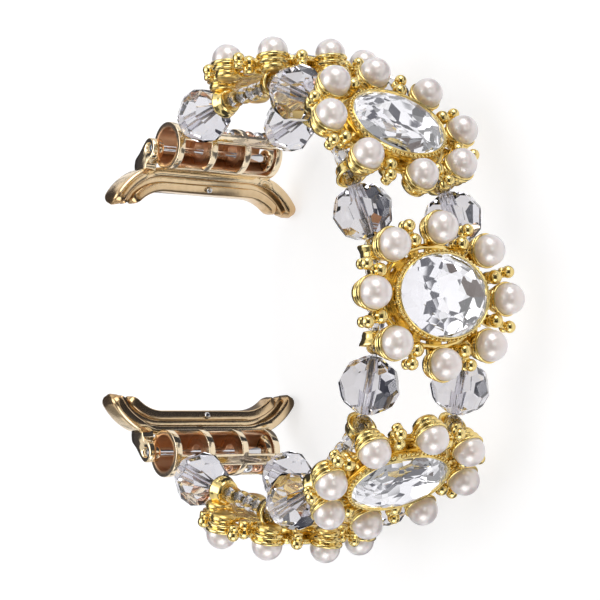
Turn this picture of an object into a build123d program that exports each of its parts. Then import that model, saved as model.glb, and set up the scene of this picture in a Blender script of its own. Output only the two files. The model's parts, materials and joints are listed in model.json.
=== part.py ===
from build123d import *
import math
import os

# Bead watch band: five cast medallions, each an oval clear stone ringed by eight pearls, joined by
# pairs of cut crystal beads on two strands of elastic cord, with a windowed connector and a slide-in
# adapter at each end. The band lies on its side: +Z runs across the band, +X points from the watch
# towards the middle medallion, +Y points from the middle medallion towards the top adapter.
# The origin is under the middle of the band's own box, on the plane that it stands on.
# Lengths are millimetres and angles are degrees.

# Loop, as worn: how far each joint turns towards the wrist, from the middle medallion outwards
TOP_BENDS = (24, 8, 34, 27, 8, 28)
BOTTOM_BENDS = (17, 34, 19, 34, 2, 20)
MIDDLE_NUMBER = 3
strand_offset = 7.7
lug_span = 12.8

# Elastic cord
cord_dia = 0.7
CORD_SIDES = 6
cord_bore_play = 0.12

# Cut crystal beads
crystal_dia = 8.0
CRYSTAL_SIDES = 8
CRYSTAL_LATITUDES = (-70, -37, 0, 37, 70)
crystal_bore_play = 0.18

# Spacer beads, whose middles are where the strands bend
spacer_dia = 2.5
spacer_length = 2.0
spacer_bore_radius = 0.78
bead_play = 0.35
BEAD_SIDES = 5
SPACER_END_SHARE = 0.84
SEED_END_SHARE = 0.7

# Seed beads between a medallion's lugs
SEEDS_PER_STRAND = 4
seed_dia = 2.4
seed_play = 0.04

# Medallion: heights are measured outwards from the cords
pearl_dia = 4.2
PEARL_COUNT = 8
PEARL_SIDES = 7
PEARL_LATITUDES = (-35, 0, 36, 66)
pearl_ring_across = 11.3
pearl_ring_along = 8.8
pearl_height = 4.7
cup_bottom_height = 1.5
cup_bottom_radius = 1.15
cup_rim_radius = 1.98
plate_bottom_height = 1.9
plate_top_height = 2.7
spoke_width = 1.6
base_across = 8.4
base_along = 6.4
window_across = 5.4
window_along = 3.4
cross_bar_width = 1.1
bezel_clearance = 0.06
bezel_wall = 0.45
bezel_top_height = 4.9
OVAL_SIDES = 16

# Pairs of balls between the pearls
BALL_SIDES = 5
inner_ball_radius = 1.0
inner_ball_across = 10.5
inner_ball_along = 7.5
inner_ball_top_height = 4.5
outer_ball_radius = 0.86
outer_ball_across = 12.95
outer_ball_along = 9.5
outer_ball_bottom_height = 2.95
outer_ball_top_height = 4.3
ball_neck_width = 0.9
ball_neck_top_height = 3.7
BALL_DOME_SHARE = 0.6
ball_dome_rise = 0.3

# Oval stone
stone_across = 14.8
stone_along = 10.8
stone_girdle_height = 4.5
stone_crown_rise = 1.5
stone_crown_break = 0.95
STONE_CROWN_SHARES = (1.0, 0.79, 0.5)
stone_culet_share = 0.62

# Lugs: concave bead caps that seat the spacer beads
lug_rim_radius = 2.2
lug_rim_bore = 1.72
lug_seat_radius = 1.05
lug_floor_radius = 1.7
lug_bore_radius = 0.55
lug_floor_thickness = 0.45
lug_depth = 1.5
LUG_SIDES = 6

# Connector: a windowed tube that hangs on the adapter's pin
tube_radius = 3.5
TUBE_SIDES = 16
tube_wall = 0.85
tube_half_length = 9.3
tube_along_from_pin = 1.5
tube_wristward_from_pin = 0.9
strand_pivot_from_pin = 3.9
end_ring_width = 1.1
web_offset = 3.0
web_width = 1.1
pin_bore_play = 0.05
cord_eye_play = 0.15
wrist_window_low = -25
wrist_window_high = 59
strand_window_low = 87
strand_window_high = 158
end_bead_dia = 1.9
end_bead_length = 1.72
end_bead_play = 0.06

# Adapter: a rail that slides into the watch's slot, arms that follow the case, and two ears
pin_dia = 1.4
pin_recess = 0.25
pin_slot_width = 0.35
pin_slot_depth = 0.3
ear_width = 1.8
ear_play = 0.2
ear_radius = 1.45
ear_foot_along = 2.9
case_half_across = 17.0
case_half_along = 20.0
case_corner_radius = 9.5
arm_tip_along = 14.2
rail_depth_from_wrist_axis = 2.4
arm_thickness = 3.0
arm_depth = 1.0
neck_thickness = 1.7
neck_depth = 0.7
rail_thickness = 2.8
rail_depth = 1.5
saddle_rise = 0.45
arm_end_rise = 0.8
arm_end_thickness = 4.2
CORNER_SIDES = 6
PIN_SIDES = 12

# Lock button in the rail
button_dia = 1.0
button_play = 0.05
button_stroke = 0.6
button_stand_out = 0.7
button_pocket_floor = 0.5
BUTTON_SIDES = 10
BUTTON_NOSE_SHARE = 0.5

# Cuts run past a face by this much
overrun = 0.5


def ring_points(radius_x, radius_y, sides, height, turn=0.0):
    """The corners of a polygon inscribed in an ellipse, at a height."""
    corners = []
    for number in range(sides):
        angle = math.radians(turn + 360 * number / sides)
        corners.append((radius_x * math.cos(angle), radius_y * math.sin(angle), height))
    return corners


def flat_face(corners):
    """A flat face between corners."""
    return Face(Wire.make_polygon([Vector(*corner) for corner in corners], close=True))


def faceted_solid(rings, sides, plane=Plane.XY, turn=0.0):
    """A solid with flat facets through polygon rings, each given as (radius x, radius y, height)."""
    loops = [ring_points(x, y, sides, height, turn) for x, y, height in rings]
    faces = [flat_face(loops[0]), flat_face(loops[-1])] + facet_bands(loops, sides)
    return plane * Solid(Shell(faces))


def facet_bands(loops, sides):
    """The facets between each loop of corners and the next one."""
    faces = []
    for low, high in zip(loops, loops[1:]):
        for here in range(sides):
            there = (here + 1) % sides
            faces.append(flat_face([low[here], low[there], high[there], high[here]]))
    return faces


def faceted_bead(rings, bore_radius, sides, plane):
    """A bead with flat facets through (radius, height) rings, round a cord hole of as many sides."""
    outer = [ring_points(radius, radius, sides, height) for radius, height in rings]
    bore_loops = [ring_points(bore_radius, bore_radius, sides, height) for _, height in rings[:: len(rings) - 1]]
    loops = outer + bore_loops[::-1] + outer[:1]
    return plane * Solid(Shell(facet_bands(loops, sides)))


def cut_bead(dia, latitudes, sides, bore_radius, plane=Plane.XY):
    """A round cut bead on the plane's normal, with a cord hole."""
    angles = [math.radians(latitude) for latitude in latitudes]
    rings = [(dia / 2 * math.cos(angle), dia / 2 * math.sin(angle)) for angle in angles]
    return faceted_bead(rings, bore_radius, sides, plane)


def small_bead(dia, length, end_share, bore_radius, plane=Plane.XY):
    """A small bead with a belt and tapered ends, and a cord hole."""
    end = dia / 2 * end_share
    rings = [(end, -length / 2), (dia / 2, 0), (end, length / 2)]
    return faceted_bead(rings, bore_radius, BEAD_SIDES, plane)


def hexagon_cord(points, plane):
    """A cord with mitred corners through points of a plane."""
    route = plane * Polyline(*points)
    start = Plane(route @ 0, z_dir=route % 0)
    corners = ring_points(cord_dia / 2, cord_dia / 2, CORD_SIDES, 0)
    return sweep(start * flat_face(corners), path=route, transition=Transition.RIGHT)


# Sizes that follow from the driving ones
crystal_half_length = crystal_dia / 2 * math.sin(math.radians(CRYSTAL_LATITUDES[-1]))
crystal_from_pivot = spacer_length / 2 + bead_play + crystal_half_length
bead_gap = 2 * crystal_from_pivot
tube_reach = strand_pivot_from_pin - tube_along_from_pin
end_crystal_room = crystal_dia / 2 + tube_radius - tube_reach
end_gap = crystal_from_pivot + end_crystal_room + bead_play + tube_wristward_from_pin
cord_radius = cord_dia / 2
seed_bore_radius = cord_radius + cord_bore_play
lug_from_middle = lug_span / 2
lug_floor_from_middle = lug_from_middle - lug_depth - lug_floor_thickness
seed_pitch = 2 * lug_floor_from_middle / SEEDS_PER_STRAND
seed_length = seed_pitch - seed_play
stone_bottom_height = plate_top_height
ear_middle = tube_half_length + ear_play + ear_width / 2
ear_outer = ear_middle + ear_width / 2


# Medallion pieces, in a frame with x along the band, y outwards and z across


def ring_point(across, along, share):
    """The (x, z) place at a share of a turn around an oval, counted from the z axis."""
    angle = 2 * math.pi * share
    return along * math.sin(angle), across * math.cos(angle)


def outward_plane(x, z):
    """A plane at a place of the medallion whose normal points outwards, with its x along the band."""
    return Plane(origin=(x, 0, z), x_dir=(1, 0, 0), z_dir=(0, 1, 0))


def radial_bar(x, z, width, low, high):
    """A bar from the medallion's middle to a place, between two heights."""
    return bar_between((0, 0), (x, z), width, low, high)


def bar_between(start, end, width, low, high):
    """A bar between two (x, z) places of the medallion and two heights."""
    run_x, run_z = end[0] - start[0], end[1] - start[1]
    length = math.hypot(run_x, run_z)
    plane = Plane(origin=(start[0], low, start[1]), x_dir=(run_x, 0, run_z), z_dir=(0, 1, 0))
    outline = Location((length / 2, 0)) * Rectangle(length, width)
    return extrude(plane * outline, high - low)


def prism(x, z, rings, sides):
    """A polygon-sided post at a place, through (radius, height) rings."""
    return faceted_solid([(r, r, height) for r, height in rings], sides, outward_plane(x, z))


def pearl_cups():
    """The pearls' tapered cups and the spokes that carry them."""
    pieces = []
    for number in range(PEARL_COUNT):
        x, z = ring_point(pearl_ring_across, pearl_ring_along, number / PEARL_COUNT)
        rings = [(cup_bottom_radius, cup_bottom_height), (cup_rim_radius, pearl_seat_height())]
        pieces.append(prism(x, z, rings, PEARL_SIDES))
        pieces.append(radial_bar(x, z, spoke_width, plate_bottom_height, plate_top_height))
    return pieces


def pearl_seat_height():
    """The height of a cup's flat floor, where the pearl's cut base sits."""
    return pearl_height + pearl_dia / 2 * math.sin(math.radians(PEARL_LATITUDES[0]))


def ball_pairs():
    """The pairs of balls between the pearls, each with its bar and neck."""
    pieces = []
    for number in range(PEARL_COUNT):
        share = (number + 1 / 2) / PEARL_COUNT
        x_in, z_in = ring_point(inner_ball_across, inner_ball_along, share)
        x_out, z_out = ring_point(outer_ball_across, outer_ball_along, share)
        pieces.append(ball(x_in, z_in, inner_ball_radius, plate_bottom_height, inner_ball_top_height))
        pieces.append(
            ball(x_out, z_out, outer_ball_radius, outer_ball_bottom_height, outer_ball_top_height)
        )
        pieces.append(radial_bar(x_in, z_in, ball_neck_width, plate_bottom_height, plate_top_height))
        pieces.append(
            bar_between(
                (x_in, z_in),
                (x_out, z_out),
                ball_neck_width,
                outer_ball_bottom_height,
                ball_neck_top_height,
            )
        )
    return pieces


def ball(x, z, radius, low, high):
    """A post with a domed top."""
    rings = [
        (radius, low),
        (radius, high - ball_dome_rise),
        (radius * BALL_DOME_SHARE, high),
    ]
    return prism(x, z, rings, BALL_SIDES)


def oval_prism(across, along, low, high):
    """An upright oval prism about the medallion's middle."""
    return faceted_solid([(along, across, low), (along, across, high)], OVAL_SIDES, outward_plane(0, 0))


def lug(side, strand):
    """A concave bead cap that opens towards the neighbouring crystal."""
    floor = lug_floor_from_middle + lug_floor_thickness
    plane = Plane(origin=(0, 0, strand * strand_offset), x_dir=(0, 1, 0), z_dir=(side, 0, 0))
    shell = faceted_solid(
        [
            (lug_floor_radius, lug_floor_radius, lug_floor_from_middle),
            (lug_rim_radius, lug_rim_radius, lug_from_middle),
        ],
        LUG_SIDES,
        plane,
        turn=180 / LUG_SIDES,
    )
    hollow = faceted_solid(
        [
            (lug_seat_radius, lug_seat_radius, floor),
            (lug_rim_bore, lug_rim_bore, lug_from_middle),
            (lug_rim_bore, lug_rim_bore, lug_from_middle + overrun),
        ],
        LUG_SIDES,
        plane,
        turn=180 / LUG_SIDES,
    )
    hole = faceted_solid(
        [
            (lug_bore_radius, lug_bore_radius, lug_floor_from_middle - overrun),
            (lug_bore_radius, lug_bore_radius, lug_from_middle),
        ],
        LUG_SIDES,
        plane,
        turn=180 / LUG_SIDES,
    )
    return shell - hollow - hole


def medallion_frame():
    """The cast frame: pierced base, bezel, spokes, cups, ball pairs and lugs in one piece."""
    base = oval_prism(base_across, base_along, plate_bottom_height, plate_top_height)
    window = oval_prism(
        window_across, window_along, plate_bottom_height - overrun, plate_top_height + overrun
    )
    stone_room_across = stone_across / 2 + bezel_clearance
    stone_room_along = stone_along / 2 + bezel_clearance
    wall = oval_prism(
        stone_room_across + bezel_wall,
        stone_room_along + bezel_wall,
        plate_bottom_height,
        bezel_top_height,
    )
    solid = base + wall
    for piece in pearl_cups() + ball_pairs():
        solid = solid + piece
    solid = solid - oval_prism(
        stone_room_across, stone_room_along, plate_top_height, bezel_top_height + overrun
    )
    bars = [
        radial_bar(0, stone_across / 2, cross_bar_width, plate_bottom_height, plate_top_height),
        radial_bar(0, -stone_across / 2, cross_bar_width, plate_bottom_height, plate_top_height),
        radial_bar(stone_along / 2, 0, cross_bar_width, plate_bottom_height, plate_top_height),
        radial_bar(-stone_along / 2, 0, cross_bar_width, plate_bottom_height, plate_top_height),
    ]
    solid = solid - window
    for bar in bars:
        solid = solid + bar
    for side in (-1, 1):
        for strand in (-1, 1):
            solid = solid + lug(side, strand)
    return solid


def stone():
    """The oval cut stone, from its flat foiled back to its table."""
    across, along = stone_across / 2, stone_along / 2
    culet = (along * stone_culet_share, across * stone_culet_share, stone_bottom_height)
    heights = (
        stone_girdle_height,
        stone_girdle_height + stone_crown_break,
        stone_girdle_height + stone_crown_rise,
    )
    rings = [culet]
    for share, height in zip(STONE_CROWN_SHARES, heights):
        rings.append((along * share, across * share, height))
    return faceted_solid(rings, OVAL_SIDES, outward_plane(0, 0))


def pearls():
    """Eight pearls, each with its base cut flat to sit in its cup."""
    radius = pearl_dia / 2
    solids = []
    for number in range(PEARL_COUNT):
        x, z = ring_point(pearl_ring_across, pearl_ring_along, number / PEARL_COUNT)
        rings = []
        for latitude in PEARL_LATITUDES:
            angle = math.radians(latitude)
            rings.append((radius * math.cos(angle), pearl_height + radius * math.sin(angle)))
        solids.append(prism(x, z, rings, PEARL_SIDES))
    return Compound(children=solids)


def seed_beads():
    """The seed beads strung between a medallion's lugs, on both strands."""
    solids = []
    for strand in (-1, 1):
        for number in range(SEEDS_PER_STRAND):
            x = -lug_floor_from_middle + seed_pitch * (number + 1 / 2)
            plane = Plane(origin=(x, 0, strand * strand_offset), x_dir=(0, 1, 0), z_dir=(1, 0, 0))
            solids.append(
                small_bead(seed_dia, seed_length, SEED_END_SHARE, seed_bore_radius, plane)
            )
    return Compound(children=solids)


# Gap pieces, in a frame with its origin at the pivot nearer to the middle medallion


def strand_plane(x, strand):
    """A plane on one strand of a gap, with its normal along the strand."""
    return Plane(origin=(x, 0, strand * strand_offset), x_dir=(0, 1, 0), z_dir=(1, 0, 0))


def crystal(strand, length):
    """One cut crystal bead in the middle of its stretch of strand."""
    plane = strand_plane(length, strand)
    return cut_bead(
        crystal_dia, CRYSTAL_LATITUDES, CRYSTAL_SIDES, cord_radius + crystal_bore_play, plane
    )


def spacers(x, tilt):
    """The pair of spacer beads at one end of a gap, tilted to halve the turn of the strands."""
    angle = math.radians(tilt)
    direction = (math.cos(angle), math.sin(angle), 0)
    solids = []
    for strand in (-1, 1):
        plane = Plane(origin=(x, 0, strand * strand_offset), x_dir=(0, 0, 1), z_dir=direction)
        solids.append(
            small_bead(spacer_dia, spacer_length, SPACER_END_SHARE, spacer_bore_radius, plane)
        )
    return Compound(children=solids)


# Connector pieces, in a frame with its origin on the pin, x towards the strands, y away from the wrist


def wedge(low, high, radius, z_low, z_high):
    """A sector about the tube's middle, between two angles from the strand side."""
    steps = max(2, round((high - low) / 15))
    points = [(0, 0)]
    for number in range(steps + 1):
        angle = math.radians(low + (high - low) * number / steps)
        points.append((radius * math.cos(angle), radius * math.sin(angle)))
    return extrude(Plane.XY.offset(z_low) * make_face(Polyline(*points, close=True)), z_high - z_low)


def many_sided_bar(radius, half_length, sides):
    """A bar of flat sides, whose corners lie on the radius."""
    rings = [(radius, radius, -half_length), (radius, radius, half_length)]
    return faceted_solid(rings, sides)


def connector():
    """The windowed tube, with two webs that carry the pin and the end cord."""
    middle = Location((tube_along_from_pin, -tube_wristward_from_pin, 0))
    inner = tube_radius - tube_wall
    tube = many_sided_bar(tube_radius, tube_half_length, TUBE_SIDES)
    tube = tube - many_sided_bar(inner, tube_half_length + overrun, TUBE_SIDES)
    bays = (
        (-tube_half_length + end_ring_width, -web_offset - web_width / 2),
        (-web_offset + web_width / 2, web_offset - web_width / 2),
        (web_offset + web_width / 2, tube_half_length - end_ring_width),
    )
    for z_low, z_high in bays:
        tube = tube - wedge(
            wrist_window_low - 90, wrist_window_high - 90, tube_radius + overrun, z_low, z_high
        )
        tube = tube - wedge(
            strand_window_low - 90, strand_window_high - 90, tube_radius + overrun, z_low, z_high
        )
    for side in (-1, 1):
        web = many_sided_bar(inner + tube_wall / 2, web_width / 2, TUBE_SIDES)
        tube = tube + Location((0, 0, side * web_offset)) * web
    tube = middle * tube
    flat_share = math.cos(math.pi / PIN_SIDES)
    hole_half_length = tube_half_length + overrun
    pin_hole = many_sided_bar((pin_dia / 2 + pin_bore_play) / flat_share, hole_half_length, PIN_SIDES)
    eye = many_sided_bar(cord_radius + cord_eye_play, hole_half_length, CORD_SIDES)
    return tube - pin_hole - Location((strand_pivot_from_pin, 0, 0)) * eye


def end_beads():
    """The row of beads that the end cord is threaded through, inside the connector."""
    solids = []
    pitch = end_bead_length + end_bead_play
    inside = [-(pitch / 2), pitch / 2]
    outside = [web_offset + web_width / 2 + pitch * (number + 1 / 2) for number in range(2)]
    for z in inside + outside + [-z for z in outside]:
        plane = Plane(origin=(0, 0, z), x_dir=(1, 0, 0), z_dir=(0, 0, 1))
        solids.append(
            small_bead(end_bead_dia, end_bead_length, SEED_END_SHARE, seed_bore_radius, plane)
        )
    return Compound(children=solids)


# Adapter pieces, in a frame with its origin on the pin, x away from the watch, y away from the wrist


def case_band(outer, inner, thickness):
    """A bar that follows the case's rounded end between two insets, centred on the slot's middle."""
    shift = -(case_half_along + ear_foot_along)
    face = rounded_case(-outer) - rounded_case(-inner)
    keep_height = case_half_along + overrun * 2 - arm_tip_along + arm_end_rise
    keep = Location((arm_tip_along + keep_height / 2, 0)) * Rectangle(keep_height, 4 * case_half_across)
    plane = Plane(origin=(shift, rail_depth_from_wrist_axis, 0), x_dir=(1, 0, 0), z_dir=(0, 1, 0))
    bar = extrude(plane * (face & keep), thickness / 2, both=True)
    return bar


def rounded_case(inset):
    """The case's outline in its own plane, grown or shrunk, with short flat sides round its corners."""
    radius = case_corner_radius + inset
    corners = []
    for quarter, (sign_x, sign_y) in enumerate(((1, 1), (-1, 1), (-1, -1), (1, -1))):
        middle_x = sign_x * (case_half_along - case_corner_radius)
        middle_y = sign_y * (case_half_across - case_corner_radius)
        for step in range(CORNER_SIDES + 1):
            angle = math.pi / 2 * (quarter + step / CORNER_SIDES)
            corners.append((middle_x + radius * math.cos(angle), middle_y + radius * math.sin(angle)))
    return make_face(Polyline(*corners, close=True))


def arm_ends():
    """The thicker ends of the arms, from the ears outwards."""
    middle = Box(4 * case_half_along, 4 * case_half_across, 2 * (ear_outer - ear_width))
    return case_band(-arm_end_rise, arm_depth, arm_end_thickness) - middle


def ear(z_middle):
    """One ear: a round eye for the pin, on a foot that runs down into the arm."""
    foot_low = rail_depth_from_wrist_axis - arm_thickness / 2
    foot_high = rail_depth_from_wrist_axis + arm_thickness / 2
    eye = Circle(ear_radius)
    outline = Polyline(
        (-ear_foot_along - arm_depth, foot_low),
        (-ear_foot_along - arm_depth, foot_high),
        (-ear_radius, foot_high),
        (ear_radius * math.cos(math.pi / 4), ear_radius * math.sin(math.pi / 4)),
        (0, -ear_radius),
        (-ear_radius, -ear_radius * math.sin(math.pi / 4)),
        close=True,
    )
    face = make_face(outline) + eye
    return extrude(Plane.XY.offset(z_middle) * face, ear_width / 2, both=True)


def adapter():
    """The slide-in adapter: saddle and arms outside the case, neck and rail in its slot, two ears."""
    solid = case_band(-saddle_rise, arm_depth, arm_thickness)
    solid = solid + case_band(arm_depth, arm_depth + neck_depth, neck_thickness)
    solid = solid + case_band(
        arm_depth + neck_depth, arm_depth + neck_depth + rail_depth, rail_thickness
    )
    solid = solid + arm_ends()
    for side in (-1, 1):
        solid = solid + ear(side * ear_middle)
    return solid - many_sided_bar(pin_dia / 2, ear_outer + overrun, PIN_SIDES) - button_pocket()


def button_plane():
    """The button's seat: its axis points to the wrist from the middle of the rail."""
    inset = arm_depth + neck_depth + rail_depth / 2
    x = -ear_foot_along - inset
    y = rail_depth_from_wrist_axis - rail_thickness / 2
    return Plane(origin=(x, y, 0), x_dir=(1, 0, 0), z_dir=(0, -1, 0))


def button_pocket():
    """The blind hole that the button and its spring fill, open on the wrist side."""
    radius = button_dia / 2 + button_play
    rings = [(radius, radius, button_pocket_floor - rail_thickness), (radius, radius, overrun)]
    return faceted_solid(rings, BUTTON_SIDES, button_plane())


def lock_button():
    """The sprung button that holds the rail in its slot, with a domed nose."""
    buried = rail_thickness - button_pocket_floor - button_stroke - button_play
    radius, nose_radius = button_dia / 2, button_dia / 2 * BUTTON_NOSE_SHARE
    rings = [
        (radius, radius, -buried),
        (radius, radius, button_stand_out / 2),
        (nose_radius, nose_radius, button_stand_out),
    ]
    return faceted_solid(rings, BUTTON_SIDES, button_plane())


def hinge_pin():
    """The pin through both ears and both webs, with a screw slot at each end."""
    pin = many_sided_bar(pin_dia / 2, ear_outer - pin_recess, PIN_SIDES)
    slot = Box(2 * pin_dia, pin_slot_width, pin_slot_depth)
    for side in (-1, 1):
        pin = pin - Location((0, 0, side * (ear_outer - pin_recess - pin_slot_depth / 2))) * slot
    return pin


# The loop: places and headings of every joint, in the plane of the cords


def walk(bends):
    """Steps outwards from the middle medallion: (kind, start, end, heading in degrees)."""
    lengths = [
        ("gap", bead_gap),
        ("medallion", lug_span),
        ("gap", bead_gap),
        ("medallion", lug_span),
        ("end gap", end_gap),
        ("connector", strand_pivot_from_pin),
    ]
    x, y, heading = 0.0, lug_span / 2, 0.0
    steps = []
    for (kind, length), bend in zip(lengths, bends):
        heading += bend
        turn = math.radians(heading)
        end = (x - length * math.sin(turn), y + length * math.cos(turn))
        steps.append((kind, (x, y), end, heading))
        x, y = end
    return steps


def flat_place(point, side):
    """A place of the walk in the band's plane: the bottom half is the top half's walk mirrored."""
    return (point[0], side * point[1], 0)


def step_plane(point, heading, side):
    """The frame of a step: origin at a point, x onwards from the middle medallion, y outwards."""
    turn = math.radians(heading)
    return Plane(
        origin=flat_place(point, side),
        x_dir=(-math.sin(turn), side * math.cos(turn), 0),
        z_dir=(0, 0, -side),
    )


def cord_points(before, after):
    """A strand's route through a gap, from the middle of one medallion to the middle of the next."""
    back, ahead = math.radians(before), math.radians(after)
    return [
        (-lug_from_middle * math.cos(back), -lug_from_middle * math.sin(back)),
        (0, 0),
        (bead_gap, 0),
        (bead_gap + lug_from_middle * math.cos(ahead), -lug_from_middle * math.sin(ahead)),
    ]


def gap_cord(before, after):
    """Both strands of an inner gap."""
    solids = []
    for strand in (-1, 1):
        plane = Plane.XY.offset(strand * strand_offset)
        solids.append(hexagon_cord(cord_points(before, after), plane))
    return Compound(children=solids)


def end_cord(before):
    """The end stretch: out along one strand, across inside the connector and back along the other."""
    back = math.radians(before)
    strand = [
        (-lug_from_middle * math.cos(back), -lug_from_middle * math.sin(back), strand_offset),
        (0, 0, strand_offset),
        (end_gap, 0, strand_offset),
    ]
    points = strand + [(x, y, -z) for x, y, z in reversed(strand)]
    return hexagon_cord(points, Plane.XY)


def build_band():
    """Every piece of the band by name, in the frame of the middle medallion."""
    pieces = {}
    frame_shape, stone_shape, pearl_shape, seed_shape = medallion_frame(), stone(), pearls(), seed_beads()

    def add_medallion(number, plane):
        name = f"medallion_{number}"
        for part_name, shape in (
            ("frame", frame_shape),
            ("stone", stone_shape),
            ("pearls", pearl_shape),
            ("seed_beads", seed_shape),
        ):
            pieces[f"{name}_{part_name}"] = plane * shape

    add_medallion(MIDDLE_NUMBER, Plane(origin=(0, 0, 0), x_dir=(0, -1, 0), z_dir=(0, 0, 1)))
    for side, side_name, bends in ((1, "top", TOP_BENDS), (-1, "bottom", BOTTOM_BENDS)):
        steps = walk(bends)
        for index, (kind, start, end, heading) in enumerate(steps):
            plane = step_plane(start, heading, side)
            place = 1 + index // 2
            if kind == "medallion":
                middle = ((start[0] + end[0]) / 2, (start[1] + end[1]) / 2)
                add_medallion(MIDDLE_NUMBER - side * place, step_plane(middle, heading, side))
            elif kind == "connector":
                add_end(pieces, side_name, steps, side)
            else:
                name = f"{side_name}_gap_{place}"
                for strand, strand_name in ((1, "left"), (-1, "right")):
                    pieces[f"{name}_crystal_{strand_name}"] = plane * crystal(
                        -side * strand, crystal_from_pivot
                    )
                pieces[f"{name}_near_spacers"] = plane * spacers(0, bends[index] / 2)
                if kind == "gap":
                    pieces[f"{name}_far_spacers"] = plane * spacers(bead_gap, -bends[index + 1] / 2)
                    pieces[f"{name}_cord"] = plane * gap_cord(bends[index], bends[index + 1])
                else:
                    pieces[f"{name}_cord"] = plane * end_cord(bends[index])
    return pieces


def add_end(pieces, side_name, steps, side):
    """The connector, its beads and pin, and the adapter with its button, at one end."""
    kind, strand_pivot, pin_point, heading = steps[-1]
    turn = math.radians(heading)
    towards_strands = (math.sin(turn), -side * math.cos(turn), 0)
    plane = Plane(origin=flat_place(pin_point, side), x_dir=towards_strands, z_dir=(0, 0, side))
    pieces[f"{side_name}_connector"] = plane * connector()
    pivot_plane = Plane(
        origin=flat_place(strand_pivot, side), x_dir=towards_strands, z_dir=(0, 0, side)
    )
    pieces[f"{side_name}_end_beads"] = pivot_plane * end_beads()
    away = watch_direction(side)
    adapter_plane = Plane(origin=flat_place(pin_point, side), x_dir=away, z_dir=(0, 0, side))
    pieces[f"{side_name}_hinge_pin"] = adapter_plane * hinge_pin()
    pieces[f"{side_name}_adapter"] = adapter_plane * adapter()
    pieces[f"{side_name}_lock_button"] = adapter_plane * lock_button()


def pin_places():
    """The top and bottom pins' places in the frame of the middle medallion."""
    return flat_place(walk(TOP_BENDS)[-1][2], 1), flat_place(walk(BOTTOM_BENDS)[-1][2], -1)


def watch_direction(side):
    """The direction out of the watch at one end: the adapters face each other along their pins' line."""
    top, bottom = pin_places()
    length = math.dist(top, bottom)
    return tuple(side * (a - b) / length for a, b in zip(top, bottom))


def box_of(pieces):
    """The lowest and highest corner of all pieces."""
    boxes = [piece.bounding_box() for piece in pieces.values()]
    low = [min(getattr(box.min, axis) for box in boxes) for axis in "XYZ"]
    high = [max(getattr(box.max, axis) for box in boxes) for axis in "XYZ"]
    return low, high


if __name__ == "__main__":
    band = build_band()
    low, high = box_of(band)
    shift = (-(low[0] + high[0]) / 2, -(low[1] + high[1]) / 2, -low[2])
    os.makedirs("parts", exist_ok=True)
    for name, piece in band.items():
        export_step(Location(shift) * piece, f"parts/{name}.step")
    print("nodes", len(band))
    print("shift", [round(value, 4) for value in shift])
    print("size", [round(b - a, 2) for a, b in zip(low, high)])
    print("bead gap", round(bead_gap, 3), "end gap", round(end_gap, 3))
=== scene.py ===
"""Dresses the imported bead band: cast medallions, pearls, cut crystals, connectors and adapters."""
import sys
import json
import logging
import math
from dataclasses import dataclass, field
from enum import Enum

import bmesh
import bpy
import numpy as np
from mathutils import Matrix, Vector

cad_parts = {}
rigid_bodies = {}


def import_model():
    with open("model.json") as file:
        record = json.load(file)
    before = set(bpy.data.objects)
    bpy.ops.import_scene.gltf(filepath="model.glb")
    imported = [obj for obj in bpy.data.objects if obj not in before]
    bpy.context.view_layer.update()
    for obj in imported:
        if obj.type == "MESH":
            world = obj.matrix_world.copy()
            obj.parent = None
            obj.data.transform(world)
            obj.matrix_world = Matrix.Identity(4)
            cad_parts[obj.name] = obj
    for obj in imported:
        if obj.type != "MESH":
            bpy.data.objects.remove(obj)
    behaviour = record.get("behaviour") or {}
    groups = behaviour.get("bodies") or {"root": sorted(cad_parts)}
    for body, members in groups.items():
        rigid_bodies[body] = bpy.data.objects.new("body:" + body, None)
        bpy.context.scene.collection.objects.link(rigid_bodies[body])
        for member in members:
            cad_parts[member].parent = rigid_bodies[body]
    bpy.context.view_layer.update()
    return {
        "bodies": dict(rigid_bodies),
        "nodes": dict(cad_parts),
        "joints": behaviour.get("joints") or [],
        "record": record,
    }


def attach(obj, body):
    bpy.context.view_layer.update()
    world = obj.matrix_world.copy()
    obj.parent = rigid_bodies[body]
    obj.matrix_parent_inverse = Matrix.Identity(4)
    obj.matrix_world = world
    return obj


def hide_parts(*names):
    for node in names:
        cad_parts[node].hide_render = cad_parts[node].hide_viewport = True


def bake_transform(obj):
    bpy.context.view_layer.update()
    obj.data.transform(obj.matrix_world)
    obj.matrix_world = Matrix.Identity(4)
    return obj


LOG = logging.getLogger("band")

# The sizes of the sub-assemblies are millimetres, which Place.carry makes metres.
MM = 0.001
TURN = 2 * math.pi
STRAND_OFFSET = 7.7
CORD_RADIUS = 0.35
SEED_BORE = 0.45
CORD_SIDES = 14
CORD_STEPS = 9
BEAD_ROWS = 11
BEAD_SIDES = 20
MIDDLE_MEDALLION = 3
LAST_GAP = 3

Colour = tuple[float, float, float]
Direction = tuple[float, float, float]
Profile = tuple[tuple[float, float], ...]
Surface = tuple[np.ndarray, np.ndarray]
Input = float | tuple[float, ...] | bpy.types.NodeSocket

ALONG = np.array([1.0, 0.0, 0.0])
OUTWARDS = np.array([0.0, 1.0, 0.0])
ACROSS = np.array([0.0, 0.0, 1.0])


# Numpy surfaces


def grid_faces(rows: int, columns: int, wrap_rows: bool = False, wrap_columns: bool = False) -> np.ndarray:
    """Quads between neighbouring points of a grid stored row by row.

    Args:
        rows: Points along the first parameter.
        columns: Points along the second parameter.
        wrap_rows: Joins the last row to the first.
        wrap_columns: Joins the last column to the first.

    Returns:
        One row of four point numbers for each quad.
    """
    i = np.arange(rows if wrap_rows else rows - 1)
    j = np.arange(columns if wrap_columns else columns - 1)
    i, j = (a.ravel() for a in np.meshgrid(i, j, indexing="ij"))
    after_i, after_j = (i + 1) % rows, (j + 1) % columns
    return np.stack([i * columns + j, i * columns + after_j, after_i * columns + after_j, after_i * columns + j], 1)


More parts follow.
